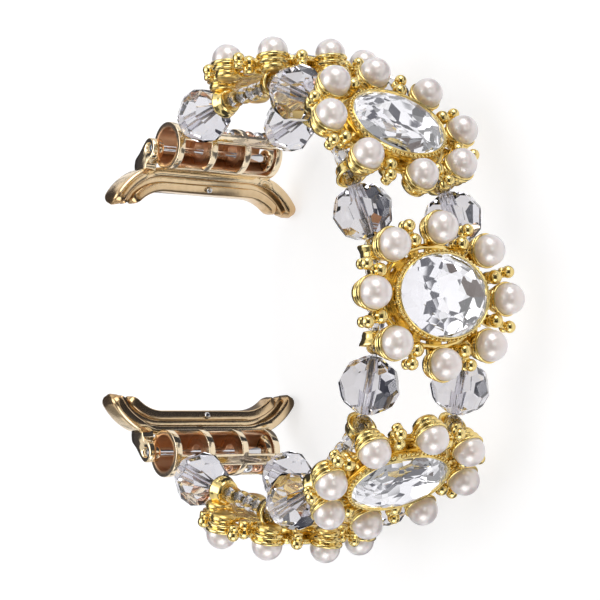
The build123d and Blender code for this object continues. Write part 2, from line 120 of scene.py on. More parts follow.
def turned(profile: np.ndarray, sides: int, closed: bool = False) -> Surface:
    """A profile turned about the local y axis: (r, h) goes to (r cos a, h, r sin a) for a in equal steps.

    Args:
        profile: Points (radius, height).
        sides: Steps of a full turn.
        closed: Joins the profile's last point to its first, for a ring.

    Returns:
        Points and quads.
    """
    angle = np.arange(sides) * TURN / sides
    radius, height = profile[:, :1], profile[:, 1:]
    points = np.stack([radius * np.cos(angle), height + 0 * angle, radius * np.sin(angle)], 2)
    return points.reshape(-1, 3), grid_faces(len(profile), sides, closed, True)


def oval_swept(profile: np.ndarray, across: float, along: float, steps: int) -> Surface:
    """A closed (d, h) profile carried round an oval: the oval grown by d, at height h.

    Args:
        profile: Points (distance outside the oval, height), in order round the section.
        across: The oval's half width on z.
        along: The oval's half width on x.
        steps: Places round the oval.

    Returns:
        Points and quads.
    """
    angle = np.arange(steps)[:, None] * TURN / steps
    d, h = profile[:, 0], profile[:, 1]
    points = np.stack([(along + d) * np.cos(angle), h + 0 * angle, (across + d) * np.sin(angle)], 2)
    return points.reshape(-1, 3), grid_faces(steps, len(profile), True, True)


def carried(
    section: np.ndarray, path: np.ndarray, side: np.ndarray, up: np.ndarray, shrink: np.ndarray | None = None
) -> Surface:
    """A closed section carried along a path: point = path + u side + v up, with closed ends.

    Args:
        section: Points (u, v) in order round the section.
        path: Places of the section's origin.
        side: The direction of u, one for all or one at each place.
        up: The direction of v, one for all or one at each place.
        shrink: A size share of the section at each place.

    Returns:
        Points and quads; each end is drawn in to the middle of its section.
    """
    side, up = np.broadcast_to(side, path.shape), np.broadcast_to(up, path.shape)
    share = np.ones(len(path)) if shrink is None else shrink
    middle = section.mean(0)
    stations = [0, *range(len(path)), len(path) - 1]
    scale = np.concatenate([[0.0], share, [0.0]])
    u = middle[0] + (section[:, 0] - middle[0]) * scale[:, None]
    v = middle[1] + (section[:, 1] - middle[1]) * scale[:, None]
    points = path[stations][:, None] + u[..., None] * side[stations][:, None] + v[..., None] * up[stations][:, None]
    return points.reshape(-1, 3), grid_faces(len(stations), len(section), False, True)


def smooth_section(corners: np.ndarray, radius: float, steps: int = 3) -> np.ndarray:
    """A closed outline with its corners rounded: each corner becomes a quadratic curve between cut-back points.

    Args:
        corners: The outline's corners in order.
        radius: How far each corner is cut back.
        steps: Points of each rounded corner, less one.

    Returns:
        The rounded outline's points.
    """
    to_before, to_after = np.roll(corners, 1, 0) - corners, np.roll(corners, -1, 0) - corners
    length_before = np.linalg.norm(to_before, axis=1, keepdims=True)
    length_after = np.linalg.norm(to_after, axis=1, keepdims=True)
    start = corners + to_before / length_before * np.minimum(radius, 0.45 * length_before)
    end = corners + to_after / length_after * np.minimum(radius, 0.45 * length_after)
    t = np.linspace(0, 1, steps + 1)[None, :, None]
    curve = (1 - t) ** 2 * start[:, None] + 2 * t * (1 - t) * corners[:, None] + t**2 * end[:, None]
    return curve.reshape(-1, corners.shape[1])


def box_section(low: tuple[float, float], high: tuple[float, float], rounding: float) -> np.ndarray:
    """The outline of a box between two corners, with rounded corners."""
    return smooth_section(np.array([low, (high[0], low[1]), high, (low[0], high[1])]), rounding)


def run_length(path: np.ndarray) -> np.ndarray:
    """The distance along a path at each of its points."""
    return np.concatenate([[0], np.cumsum(np.linalg.norm(np.diff(path, axis=0), axis=1))])


def facet_ring(count: int, turn: float, slope: float) -> np.ndarray:
    """Unit normals of equal facets round the y axis: (cos a cos s, sin s, sin a cos s).

    Args:
        count: Facets in the ring.
        turn: How far the ring is turned, as a share of one facet.
        slope: How far the normals rise above the level, in degrees.

    Returns:
        One normal in each row.
    """
    a, s = (np.arange(count) + turn) * TURN / count, math.radians(slope)
    return np.stack([np.cos(a) * math.cos(s), np.full(count, math.sin(s)), np.sin(a) * math.cos(s)], 1)


def cut_stone(normals: np.ndarray, distances: np.ndarray) -> tuple[np.ndarray, list[list[int]]]:
    """The solid inside a set of planes: its corners are where three planes meet inside all the others.

    Args:
        normals: Unit normals of the facets.
        distances: Each facet's distance from the middle.

    Returns:
        Corners, and each facet's corners in order round its normal.
    """
    a, b, c = (x.ravel() for x in np.meshgrid(*[np.arange(len(normals))] * 3, indexing="ij"))
    keep = (a < b) & (b < c)
    a, b, c = a[keep], b[keep], c[keep]
    matrix = np.stack([normals[a], normals[b], normals[c]], 1)
    good = np.abs(np.linalg.det(matrix)) > 1e-6
    right = np.stack([distances[a], distances[b], distances[c]], 1)[good]
    corners = np.linalg.solve(matrix[good], right[..., None])[..., 0]
    inside = (corners @ normals.T <= distances + 1e-6).all(1)
    corners = np.unique(np.round(corners[inside], 5), axis=0)
    facets = []
    for normal, distance in zip(normals, distances):
        members = np.flatnonzero(np.abs(corners @ normal - distance) < 1e-4)
        if len(members) < 3:
            continue
        spokes = corners[members] - corners[members].mean(0)
        side = spokes[0] / np.linalg.norm(spokes[0])
        order = np.argsort(np.arctan2(spokes @ np.cross(normal, side), spokes @ side))
        facets.append(members[order].tolist())
    return corners, facets


def halfway(a: np.ndarray, b: np.ndarray) -> np.ndarray:
    """The unit direction halfway between two directions."""
    middle = a / np.linalg.norm(a) + b / np.linalg.norm(b)
    return middle / np.linalg.norm(middle)


@dataclass
class Place:
    """A local frame of the band: x along it, y away from the wrist, z across it."""

    origin: np.ndarray
    x: np.ndarray
    y: np.ndarray
    z: np.ndarray

    def carry(self, points: np.ndarray) -> np.ndarray:
        """Local millimetres to the row frame's metres."""
        return self.origin + MM * (points[:, :1] * self.x + points[:, 1:2] * self.y + points[:, 2:3] * self.z)

    def local(self, point: np.ndarray) -> np.ndarray:
        """A place of the row frame as local millimetres."""
        return np.array([self.x, self.y, self.z]) @ (point - self.origin) / MM

    def shifted(self, x: float = 0.0, y: float = 0.0, z: float = 0.0) -> "Place":
        """The same frame with its origin moved by local millimetres."""
        return Place(self.carry(np.array([[x, y, z]]))[0], self.x, self.y, self.z)

    def pointed(self, direction: np.ndarray) -> "Place":
        """A frame at the same origin whose y axis is a direction of this frame.

        Args:
            direction: The new y axis, in this frame.

        Returns:
            The new frame.
        """
        way = direction[0] * self.x + direction[1] * self.y + direction[2] * self.z
        way = way / np.linalg.norm(way)
        helper = self.z if abs(way @ self.z) < 0.9 else self.x
        x = np.cross(way, helper)
        x /= np.linalg.norm(x)
        return Place(self.origin, x, way, np.cross(x, way))


@dataclass
class Shape:
    """Points and faces gathered from several surfaces, to become one mesh."""

    name: str
    points: list[np.ndarray] = field(default_factory=list)
    faces: list[list[int]] = field(default_factory=list)
    slots: list[int] = field(default_factory=list)
    smooth: list[bool] = field(default_factory=list)
    depth: list[np.ndarray] = field(default_factory=list)
    count: int = 0

    def add(
        self,
        points: np.ndarray,
        faces: np.ndarray | list[list[int]],
        place: Place,
        slot: int = 0,
        smooth: bool = True,
        depth: np.ndarray | None = None,
    ) -> "Shape":
        """Adds one surface.

        Args:
            points: Local points in millimetres.
            faces: Point numbers of each face.
            place: The local frame that the points are in.
            slot: The material slot of its faces.
            smooth: Whether its faces shade smoothly.
            depth: How much of the deep colour, which is painted shade, each point takes, 0 to 1, mostly by how deep
                it lies in the casting, or None for the top.

        Returns:
            This shape.
        """
        if isinstance(faces, np.ndarray):
            listed = (faces + self.count).tolist()
        else:
            listed = [[n + self.count for n in face] for face in faces]
        self.points.append(place.carry(points))
        self.faces += listed
        self.slots += [slot] * len(listed)
        self.smooth += [smooth] * len(listed)
        self.depth.append(np.zeros(len(points)) if depth is None else depth)
        self.count += len(points)
        return self

    def build(self, *materials: bpy.types.Material) -> bpy.types.Object:
        """Makes the mesh object, at the origin, with doubles merged and normals outwards.

        Args:
            materials: The materials of its slots, in order.

        Returns:
            The new object, in the scene.
        """
        mesh = bpy.data.meshes.new(self.name)
        mesh.from_pydata(np.concatenate(self.points).tolist(), [], self.faces)
        mesh.polygons.foreach_set("material_index", np.array(self.slots, np.int32))
        mesh.polygons.foreach_set("use_smooth", np.array(self.smooth, bool))
        # The depth attribute is the mask of the metals' painted shade.
        deep = mesh.attributes.new("depth", "FLOAT", "POINT")
        deep.data.foreach_set("value", np.concatenate(self.depth).astype(np.float32))
        work = bmesh.new()
        work.from_mesh(mesh)
        bmesh.ops.remove_doubles(work, verts=work.verts, dist=1e-7)
        bmesh.ops.dissolve_degenerate(work, dist=1e-8, edges=work.edges)
        bmesh.ops.recalc_face_normals(work, faces=work.faces)
        work.to_mesh(mesh)
        work.free()
        piece = bpy.data.objects.new(self.name, mesh)
        bpy.context.scene.collection.objects.link(piece)
        for material in materials:
            mesh.materials.append(material)
        return piece


# Finishes


class Sheet:
    """One node tree being wired: short calls that add a node and fill its inputs."""

    def __init__(self, tree: bpy.types.NodeTree) -> None:
        """Starts on an existing tree."""
        self.tree = tree

    def feed(self, node: bpy.types.Node, inputs: dict[int | str, Input]) -> None:
        """Fills a node's inputs: a socket is linked, anything else is the value.

        Args:
            node: The node.
            inputs: Socket name or number to what it gets.
        """
        for name, value in inputs.items():
            if isinstance(value, bpy.types.NodeSocket):
                self.tree.links.new(value, node.inputs[name])
            else:
                node.inputs[name].default_value = value

    def node(self, kind: str, inputs: dict[int | str, Input] | None = None, **settings: object) -> bpy.types.Node:
        """Adds a node.

        Args:
            kind: Blender's node type name.
            inputs: Socket name or number to a value or a socket that feeds it.
            settings: Properties of the node itself.

        Returns:
            The new node.
        """
        made = self.tree.nodes.new(kind)
        for name, value in settings.items():
            setattr(made, name, value)
        self.feed(made, inputs or {})
        return made

    def math(self, operation: str, *inputs: Input, clamp: bool = False) -> bpy.types.NodeSocket:
        """The result of a Math node."""
        return self.node("ShaderNodeMath", dict(enumerate(inputs)), operation=operation, use_clamp=clamp).outputs[0]

    def mix(self, factor: Input, a: Input, b: Input, kind: str = "FLOAT") -> bpy.types.NodeSocket:
        """The mix a (1 - factor) + b factor, of numbers or, as kind RGBA, of colours."""
        return self.node("ShaderNodeMix", {"Factor": factor, "A": a, "B": b}, data_type=kind).outputs["Result"]

    def noise(self, scale: Input, detail: float, vector: Input) -> bpy.types.NodeSocket:
        """The value of a noise."""
        return self.node("ShaderNodeTexNoise", {"Scale": scale, "Detail": detail, "Vector": vector}).outputs["Fac"]

    def ranged(
        self, value: Input, given: tuple[float, float] = (0.0, 1.0), wanted: tuple[float, float] = (0.0, 1.0)
    ) -> bpy.types.NodeSocket:
        """A value brought from one range to another and held inside it.

        Args:
            value: The value.
            given: The ends of its own range.
            wanted: The ends that they go to.

        Returns:
            The new value's socket.
        """
        ends = {"From Min": given[0], "From Max": given[1], "To Min": wanted[0], "To Max": wanted[1]}
        return self.node("ShaderNodeMapRange", {"Value": value, **ends}).outputs["Result"]

    def coordinates(self, kind: str = "Object") -> bpy.types.NodeSocket:
        """The texture coordinates of a kind."""
        return self.node("ShaderNodeTexCoord").outputs[kind]


def effect_group(
    name: str, inputs: dict[str, tuple[str, Input]], outputs: dict[str, str]
) -> tuple[bpy.types.NodeTree, Sheet, bpy.types.Node, bpy.types.Node]:
    """An empty shader group with named sockets.

    Args:
        name: The group's name.
        inputs: Socket name to its type and default.
        outputs: Socket name to its type.

    Returns:
        The group, its sheet, its input node and its output node.
    """
    group = bpy.data.node_groups.new(name, "ShaderNodeTree")
    for label, (kind, default) in inputs.items():
        group.interface.new_socket(label, in_out="INPUT", socket_type=kind).default_value = default
    for label, kind in outputs.items():
        group.interface.new_socket(label, in_out="OUTPUT", socket_type=kind)
    sheet = Sheet(group)
    return group, sheet, sheet.node("NodeGroupInput"), sheet.node("NodeGroupOutput")


class Effects:
    """Shader groups that more than one finish uses."""

    def __init__(self) -> None:
        """Builds each group once."""
        self.casting = self.plated_casting()
        self.handling = self.finger_haze()

    def plated_casting(self) -> bpy.types.NodeTree:
        """Plated casting: the deep places take a darker, warmer colour, which is painted shade, and turn rougher,
        and fine waves bend the shine.

        Returns:
            The group.
        """
        group, sheet, given, result = effect_group(
            "plated_casting",
            {
                "Top Color": ("NodeSocketColor", (1, 1, 1, 1)),
                "Deep Shade Color": ("NodeSocketColor", (1, 1, 1, 1)),
                "Top Roughness": ("NodeSocketFloat", 0.1),
                "Deep Roughness": ("NodeSocketFloat", 0.3),
                "Wave Size": ("NodeSocketFloat", 0.001),
                "Wave Strength": ("NodeSocketFloat", 0.1),
            },
            {"Color": "NodeSocketColor", "Roughness": "NodeSocketFloat", "Normal": "NodeSocketVector"},
        )
        # The depth attribute masks the painted shade: deep places get the darker, warmer colour.
        depth = sheet.node("ShaderNodeAttribute", attribute_name="depth").outputs["Fac"]
        waves = sheet.noise(sheet.math("DIVIDE", 1.0, given.outputs["Wave Size"]), 2.0, sheet.coordinates())
        uneven = sheet.math("MULTIPLY", sheet.math("SUBTRACT", waves, 0.5), 0.35)
        mask = sheet.math("ADD", depth, uneven, clamp=True)
        bump = {"Distance": 0.0001, "Height": waves, "Strength": given.outputs["Wave Strength"]}
        sheet.feed(
            result,
            {
                "Color": sheet.mix(mask, given.outputs["Top Color"], given.outputs["Deep Shade Color"], "RGBA"),
                "Roughness": sheet.mix(mask, given.outputs["Top Roughness"], given.outputs["Deep Roughness"]),
                "Normal": sheet.node("ShaderNodeBump", bump).outputs["Normal"],
            },
        )
        return group

    def finger_haze(self) -> bpy.types.NodeTree:
        """Faint finger haze: a slow noise that lifts the roughness in patches.

        Returns:
            The group.
        """
        group, sheet, given, result = effect_group(
            "finger_haze",
            {
                "Clean": ("NodeSocketFloat", 0.05),
                "Hazed": ("NodeSocketFloat", 0.15),
                "Patch Size": ("NodeSocketFloat", 0.002),
            },
            {"Roughness": "NodeSocketFloat"},
        )
        clouds = sheet.noise(sheet.math("DIVIDE", 1.0, given.outputs["Patch Size"]), 3.0, sheet.coordinates())
        mask = sheet.ranged(clouds, (0.4, 0.65))
        sheet.feed(result, {"Roughness": sheet.mix(mask, given.outputs["Clean"], given.outputs["Hazed"])})
        return group

    def haze(self, sheet: Sheet, clean: float, hazed: float, patch_size: float) -> bpy.types.NodeSocket:
        """The roughness of finger haze with its own values."""
        values = {"Clean": clean, "Hazed": hazed, "Patch Size": patch_size}
        return sheet.node("ShaderNodeGroup", values, node_tree=self.handling).outputs["Roughness"]


def new_material(name: str) -> tuple[bpy.types.Material, Sheet, bpy.types.Node]:
    """A node material.

    Args:
        name: The finish's name.

    Returns:
        The material, its sheet and its main shader.
    """
    material = bpy.data.materials.new(name)
    material.use_nodes = True
    return material, Sheet(material.node_tree), material.node_tree.nodes["Principled BSDF"]


@dataclass(frozen=True)
class PlatedMetal:
    """Polished plated metal: mirror tops, duller in the deep places, where a darker, warmer colour is painted shade.

    A foil behind glass also shows a flat grey glow, which is painted light, to rays that have met more than two
    mirrors already; its strength is the last field.
    """

    name: str
    top: Colour
    deep: Colour
    top_roughness: float = 0.09
    deep_roughness: float = 0.3
    wave_size: float = 0.0009
    wave_strength: float = 0.12
    painted_glow: float = 0.0

    def build(self, effects: Effects) -> bpy.types.Material:
        """Wires the casting effect into a metal shader.

        Args:
            effects: The shared shader groups.

        Returns:
            The material.
        """
        material, sheet, shader = new_material(self.name)
        values = {
            "Top Color": (*self.top, 1),
            "Deep Shade Color": (*self.deep, 1),
            "Top Roughness": self.top_roughness,
            "Deep Roughness": self.deep_roughness,
            "Wave Size": self.wave_size,
            "Wave Strength": self.wave_strength,
        }
        casting = sheet.node("ShaderNodeGroup", values, node_tree=effects.casting).outputs
        sheet.feed(
            shader,
            {
                "Metallic": 1.0,
                "Base Color": casting["Color"],
                "Roughness": casting["Roughness"],
                "Normal": casting["Normal"],
            },
        )
        # Painted light: the foil glows its top colour for rays that have met more than two mirrors.
        if self.painted_glow:
            mirrors = sheet.node("ShaderNodeLightPath").outputs["Glossy Depth"]
            glow = sheet.mix(sheet.math("GREATER_THAN", mirrors, 2.5), (0, 0, 0, 1), (*self.top, 1), "RGBA")
            sheet.feed(shader, {"Emission Strength": self.painted_glow, "Emission Color": glow})
        return material


@dataclass(frozen=True)
class ClearGlass:
    """Clear cut glass with a faint tint."""

    name: str
    tint: Colour
    ior: float = 1.52
    clean: float = 0.0
    hazed: float = 0.02
    patch_size: float = 0.002
    clarity: float = 1.0

    def build(self, effects: Effects) -> bpy.types.Material:
        """Wires the haze into a glass shader.

        Args:
            effects: The shared shader groups.

        Returns:
            The material.
        """
        material, sheet, shader = new_material(self.name)
        sheet.feed(
            shader,
            {
                "Base Color": (*self.tint, 1),
                "Transmission Weight": self.clarity,
                "IOR": self.ior,
                "Roughness": effects.haze(sheet, self.clean, self.hazed, self.patch_size),
            },
        )
        return material


@dataclass(frozen=True)
class PearlLustre:
    """Pearl: a pale body under a soft shine, its colour painted darker where it faces the view and lighter and more
    lavender towards its rim, which is painted reflection and painted sheen.
    """

    name: str
    body: Colour
    rim: Colour
    cloud_scale: float = 300.0

    def build(self, effects: Effects) -> bpy.types.Material:
        """Mixes body and rim by facing, with a clear coat over a satin body.

        Args:
            effects: The shared shader groups.

        Returns:
            The material.
        """
        material, sheet, shader = new_material(self.name)
        # Painted reflection and sheen: the colour runs from the darker body where the surface faces the view to the
        # lighter rim at its edges.
        facing = sheet.node("ShaderNodeLayerWeight", {"Blend": 0.35}).outputs["Facing"]
        facing_tone = sheet.mix(facing, (*self.body, 1), (*self.rim, 1), "RGBA")
        tone = sheet.ranged(sheet.noise(self.cloud_scale, 2.0, sheet.coordinates()), wanted=(0.97, 1.02))
        colour = sheet.node("ShaderNodeVectorMath", {0: facing_tone, "Scale": tone}, operation="SCALE").outputs["Vector"]
        sheet.feed(
            shader,
            {
                "Base Color": colour,
                "Roughness": effects.haze(sheet, 0.2, 0.26, 0.003),
                "IOR": 1.6,
                "Coat Weight": 1.0,
                "Coat Roughness": 0.3,
                "Coat IOR": 3.1,
                "Subsurface Weight": 0.15,
                "Subsurface Scale": 0.0008,
                "Sheen Weight": 0.1,
            },
        )
        return material


class Finish(Enum):
    """The band's finishes, each with the record's slot that it belongs to."""

    GOLD = "gold"
    CHAMPAGNE = "champagne_gold"
    STONE = "stone"
    CRYSTAL = "crystal"
    PEARL = "pearl"
    STEEL = "steel"
    CORD = "cord"


FINISHES = {
    # Each metal's second colour is the painted shade of its deep places.
    Finish.GOLD: PlatedMetal("cast_gold", (0.88, 0.69, 0.28), (0.8, 0.56, 0.18)),
    Finish.CHAMPAGNE: PlatedMetal("champagne_gold", (0.9, 0.73, 0.48), (0.55, 0.32, 0.13), 0.12, 0.25),
    Finish.STONE: ClearGlass("stone_glass", (0.98, 0.975, 0.99), 1.44),
    Finish.CRYSTAL: ClearGlass("cut_crystal", (0.88, 0.87, 0.915), 1.46),
    Finish.PEARL: PearlLustre("pearl_lustre", (0.69, 0.59, 0.53), (0.84, 0.8, 0.86)),
    Finish.STEEL: PlatedMetal("polished_steel", (0.75, 0.75, 0.77), (0.4, 0.4, 0.42), 0.1, 0.25),
    Finish.CORD: ClearGlass("elastic_cord", (0.95, 0.95, 0.97), 1.25, 0.08, 0.2, 0.001, 0.92),
}
# The foil's glow after many mirrors is painted light.
FOIL = PlatedMetal("silver_foil", (0.97, 0.97, 0.98), (0.9, 0.9, 0.92), 0.02, 0.08, 0.004, 0.02, painted_glow=0.4)
SEED_GLASS = ClearGlass("seed_glass", (0.97, 0.965, 0.97), 1.36, 0.01, 0.06)
# The tube's deep colour, darker and coppery on its inside, is painted shade.
SHADED_INSIDE_GOLD = PlatedMetal("gold_shaded_inside", (0.92, 0.78, 0.56), (0.78, 0.46, 0.27), 0.12, 0.35, 0.0006, 0.2)
COPPER = PlatedMetal("copper_bead", (0.82, 0.5, 0.35), (0.5, 0.25, 0.15), 0.12, 0.25)


class Wardrobe:
    """Builds each material once and hands it out."""

    def __init__(self) -> None:
        """Builds all finishes."""
        effects = Effects()
        self.by_finish = {finish: made.build(effects) for finish, made in FINISHES.items()}
        self.foil = FOIL.build(effects)
        self.copper = COPPER.build(effects)
        self.shaded_inside = SHADED_INSIDE_GOLD.build(effects)
        self.seed_glass = SEED_GLASS.build(effects)

    def hang(self, shape: Shape, body: str, finish: Finish, node: str, *materials: bpy.types.Material) -> None:
        """Builds a piece, ties it to its body and hides the CAD node that it stands for.

        Args:
            shape: The piece's surfaces.
            body: The CAD body that it rides.
            finish: Its finish, whose material it gets when no materials are given.
            node: The CAD node that it stands for.
            materials: Its materials, if they aren't the finish's own.
        """
        piece = shape.build(*(materials or (self.by_finish[finish],)))
        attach(piece, body)
        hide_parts(node)
        LOG.info("%s rides %s", piece.name, body)


# The loop's frames, read from the joints


class Loop:
    """Where each piece of the band lies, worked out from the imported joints."""

    MEDALLION_ENDS = {
        1: ("medallion_1_bend", "top_link_3_bend"),
        2: ("medallion_2_bend", "top_link_2_bend"),
        3: ("bottom_link_1_bend", "top_link_1_bend"),
        4: ("medallion_4_bend", "bottom_link_2_bend"),
        5: ("medallion_5_bend", "bottom_link_3_bend"),
    }

    def __init__(self, frame: dict) -> None:
        """Reads every joint's place."""
        self.pivots = {j["name"]: np.array(j["pos_m"]) for j in frame["joints"] if "pos_m" in j}
        self.middle = np.mean([spot for name, spot in self.pivots.items() if name.endswith("_bend")], 0)

    def facing_out(self, origin: np.ndarray, x: np.ndarray, seen_at: np.ndarray) -> Place:
        """A frame with a given x axis whose y axis points out of the loop.

        Args:
            origin: The frame's origin.
            x: Its x axis.
            seen_at: The place whose side of the loop's middle is outwards.

        Returns:
            The frame.
        """
        y = np.cross(ACROSS, x)
        y = y if y @ (seen_at - self.middle) > 0 else -y
        return Place(origin, x, y, np.cross(x, y))

    def between(self, start: str, end: str) -> tuple[Place, float]:
        """The frame that starts at one joint and points at another.

        Args:
            start: The first joint's name.
            end: The other joint's name.

        Returns:
            The frame, and the joints' distance in millimetres.
        """
        a, b = self.pivots[start], self.pivots[end]
        distance = np.linalg.norm(b - a)
        return self.facing_out(a, (b - a) / distance, (a + b) / 2), float(distance) / MM

    def medallion(self, number: int) -> Place:
        """The frame in the middle of a medallion, on the line of its cords."""
        place, span = self.between(*self.MEDALLION_ENDS[number])
        return place.shifted(x=span / 2)

    def gap(self, side: str, number: int) -> tuple[Place, float]:
        """The frame of a gap, from the pivot nearer to the middle medallion to the other one."""
        far = f"{side}_connector_bend" if number == LAST_GAP else f"{medallion_at(side, number)}_bend"
        return self.between(f"{side}_link_{number}_bend", far)

    def connector(self, side: str) -> Place:
        """The frame of a connector: on its pin, pointing at the cord's end row."""
        return self.between(f"{side}_adapter_hinge", f"{side}_connector_bend")[0]

    def adapter(self, side: str) -> Place:
        """The frame of an adapter: on its pin, pointing away from the other adapter.

        Args:
            side: Which half of the band it ends.

        Returns:
            The frame.
        """
        pin = self.pivots[f"{side}_adapter_hinge"]
        x = pin - self.pivots["bottom_adapter_hinge" if side == "top" else "top_adapter_hinge"]
        return self.facing_out(pin, x / np.linalg.norm(x), pin)


def medallion_at(side: str, steps: int) -> str:
    """The name of the medallion that lies a number of steps from the middle one."""
    return f"medallion_{MIDDLE_MEDALLION + (-steps if side == 'top' else steps)}"


# Medallions


@dataclass(frozen=True)
class Oval:
    """An oval ring of places, with its half widths across (z) and along (x) the band."""

    across: float
    along: float

    def at(self, share: float) -> tuple[float, float]:
        """The (x, z) of the place a share of a turn from the z axis."""
        return self.along * math.sin(TURN * share), self.across * math.cos(TURN * share)


@dataclass(frozen=True)
class Ball:
    """A ball on a stem: where it stands, and its stem's profile (radius, height)."""

    ring: Oval
    radius: float
    height: float
    stem: Profile
    sides: int

    def profile(self) -> np.ndarray:
        """The stem and the ball above it: (R cos t, h + R sin t), up to the pole.

        Returns:
            Points (radius, height).
        """
        t = np.linspace(-0.236, 0.5, 9) * math.pi
        ball = np.stack([np.cos(t), np.sin(t)], 1) * self.radius + [0, self.height]
        ball[-1, 0] = 0
        return np.concatenate([np.array(self.stem), ball])


@dataclass
class Medallion:
    """A cast oval setting with its stone, pearls and seed beads."""

    number: int
    place: Place
    stone_across: float = 7.4
    stone_along: float = 5.4
    girdle_height: float = 4.5
    crown: float = 1.5
    pavilion: float = 1.75
    stone_unit: float = 5.0
    foil_from: float = -0.06
    stone_rings: tuple[tuple[int, float, float, float, float], ...] = (
        (8, 0.5, 75.0, 0.462, 1.5),
        (8, 0.0, 63.4, 0.5, 1.5),
        (16, 0.5, 52.0, 0.996, 0.02),
        (32, 0.5, 0.0, 0.996, 0.0),
        (16, 0.5, -60.0, 0.996, -0.1),
        (8, 0.5, -68.0, 0.93, -0.22),
        (8, 0.0, -74.0, 0.55, -1.05),
    )
    pearls: int = 8
    pearl_ring: Oval = Oval(11.3, 8.8)
    pearl_radius: float = 2.1
    pearl_height: float = 4.5
    pearl_foot: float = 1.2
    pearl_rows: int = 25
    pearl_sides: int = 40
    spoke_root: Oval = Oval(6.6, 4.8)
    ball_root: Oval = Oval(6.8, 4.9)
    large_ball: Ball = Ball(Oval(10.5, 7.5), 0.99, 3.55, ((0.0, 1.95), (0.84, 1.95), (0.84, 2.9), (0.78, 3.0)), 20)
    small_ball: Ball = Ball(Oval(12.95, 9.5), 0.85, 3.72, ((0.0, 2.3), (0.62, 2.3), (0.7, 2.4), (0.7, 3.2)), 18)
    base_oval: Oval = Oval(5.4, 3.4)
    base_low: float = 1.9
    base_rings: tuple[tuple[float, ...], ...] = ((0.0, 1.9, 2.75), (2.75, 3.5, 2.7))
    base_rounding: float = 0.2
    base_steps: int = 80
    cross_bars: tuple[tuple[float, ...], ...] = ((3.6, 0.0, 1.94, 2.62), (0.0, 5.6, 1.97, 2.58))
    cross_bar_width: float = 1.1
    bar_rounding: float = 0.18
    spoke_width: float = 2.3
    spoke_heights: tuple[float, float] = (1.93, 2.63)
    ball_bar_width: float = 1.6
    ball_bar_heights: tuple[float, float] = (1.96, 2.6)
    neck_width: float = 0.9
    neck_heights: tuple[float, float] = (2.98, 3.66)
    lug_end: float = 6.4
    cap_length: float = 1.95
    seeds: int = 4
    seed_radius: float = 1.18
    seed_play: float = 0.06
    grains: int = 60
    grain_radius: float = 0.24
    grain_offset: float = 0.34
    grain_height: float = 4.46
    grain_rows: int = 5
    grain_sides: int = 7
    grain_depth: float = 0.1
    grain_path_steps: int = 721
    bezel_steps: int = 96
    bezel_depths: tuple[float, float] = (2.2, 3.6)
    cup_sides: int = 32
    cap_sides: int = 36
    cap_bright_radius: float = 1.9
    cap_fade: float = 1.2
    cap_deepest: float = 0.8
    bezel: Profile = (
        (-0.3, 2.1), (0.4, 2.1), (0.45, 2.6), (0.26, 2.9), (0.24, 3.8), (0.42, 4.05), (0.44, 4.3), (0.3, 4.45),
        (0.2, 4.55), (0.2, 4.78), (0.12, 4.9), (0.03, 4.88), (0.0, 4.7), (0.0, 4.4), (-0.3, 4.2),
    )
    cup: Profile = (
        (0, 1.5), (1.0, 1.5), (1.4, 1.6), (1.7, 1.85), (1.82, 2.2), (1.8, 2.5), (1.62, 2.66), (1.66, 2.8),
        (1.98, 2.88), (2.12, 3.0), (2.14, 3.18), (2.05, 3.3), (1.86, 3.38), (1.9, 3.5), (2.18, 3.58), (2.32, 3.74),
        (2.34, 3.92), (2.24, 4.08), (2.1, 4.04), (1.96, 3.8), (1.5, 3.45), (0, 3.42),
    )
    cap: Profile = (
        (0.5, 0), (1.2, 0), (1.62, 0.12), (1.78, 0.5), (1.8, 0.9), (1.95, 1.3), (2.12, 1.6), (2.17, 1.82),
        (2.1, 1.95), (1.9, 1.94), (1.72, 1.75), (1.5, 1.3), (1.2, 0.75), (0.95, 0.5), (0.52, 0.45),
    )

    def depth_of(self, points: np.ndarray, low: float = 1.6, high: float = 3.0) -> np.ndarray:
        """How deep each point lies, which sets its painted shade: 1 at the low height, 0 at the high one, straight
        between.
        """
        return np.clip((high - points[:, 1]) / (high - low), 0, 1)

    def stud(self, shape: Shape, profile: np.ndarray, spot: tuple[float, float], sides: int) -> None:
        """Adds a turned stud that stands at a place (x, z)."""
        points, faces = turned(profile, sides)
        shape.add(points, faces, self.place.shifted(x=spot[0], z=spot[1]), depth=self.depth_of(points))

    def bar(
        self,
        shape: Shape,
        start: tuple[float, float],
        end: tuple[float, float],
        width: float,
        heights: tuple[float, float],
    ) -> None:
        """Adds a rounded bar between two places.

        Args:
            shape: The casting.
            start: The first place (x, z).
            end: The last place (x, z).
            width: The bar's width.
            heights: The bar's lowest and highest height.
        """
        middle, half = sum(heights) / 2, (heights[1] - heights[0]) / 2
        path = np.array([[start[0], middle, start[1]], [end[0], middle, end[1]]])
        run = (path[1] - path[0]) / np.linalg.norm(path[1] - path[0])
        section = box_section((-width / 2, -half), (width / 2, half), self.bar_rounding)
        points, faces = carried(section, path, np.cross(run, OUTWARDS), OUTWARDS)
        shape.add(points, faces, self.place, depth=self.depth_of(points))

    def casting(self) -> Shape:
        """The casting: bezel with its beaded edge, pierced base, cups, ball pairs and bead caps.

        Returns:
            The shape.
        """
        shape = Shape(f"medallion_{self.number}_casting")
        self.add_bezel(shape)
        self.add_base(shape)
        for n in range(self.pearls):
            self.add_cup(shape, n / self.pearls)
            self.add_balls(shape, (n + 0.5) / self.pearls)
        for side in (-1, 1):
            for strand in (-1, 1):
                self.add_cap(shape, side, strand)
        return shape

    def add_bezel(self, shape: Shape) -> None:
        """The wall round the stone, its thin lip, and a row of small beads on its shoulder.

        Args:
            shape: The casting.
        """
        points, faces = oval_swept(np.array(self.bezel), self.stone_across, self.stone_along, self.bezel_steps)
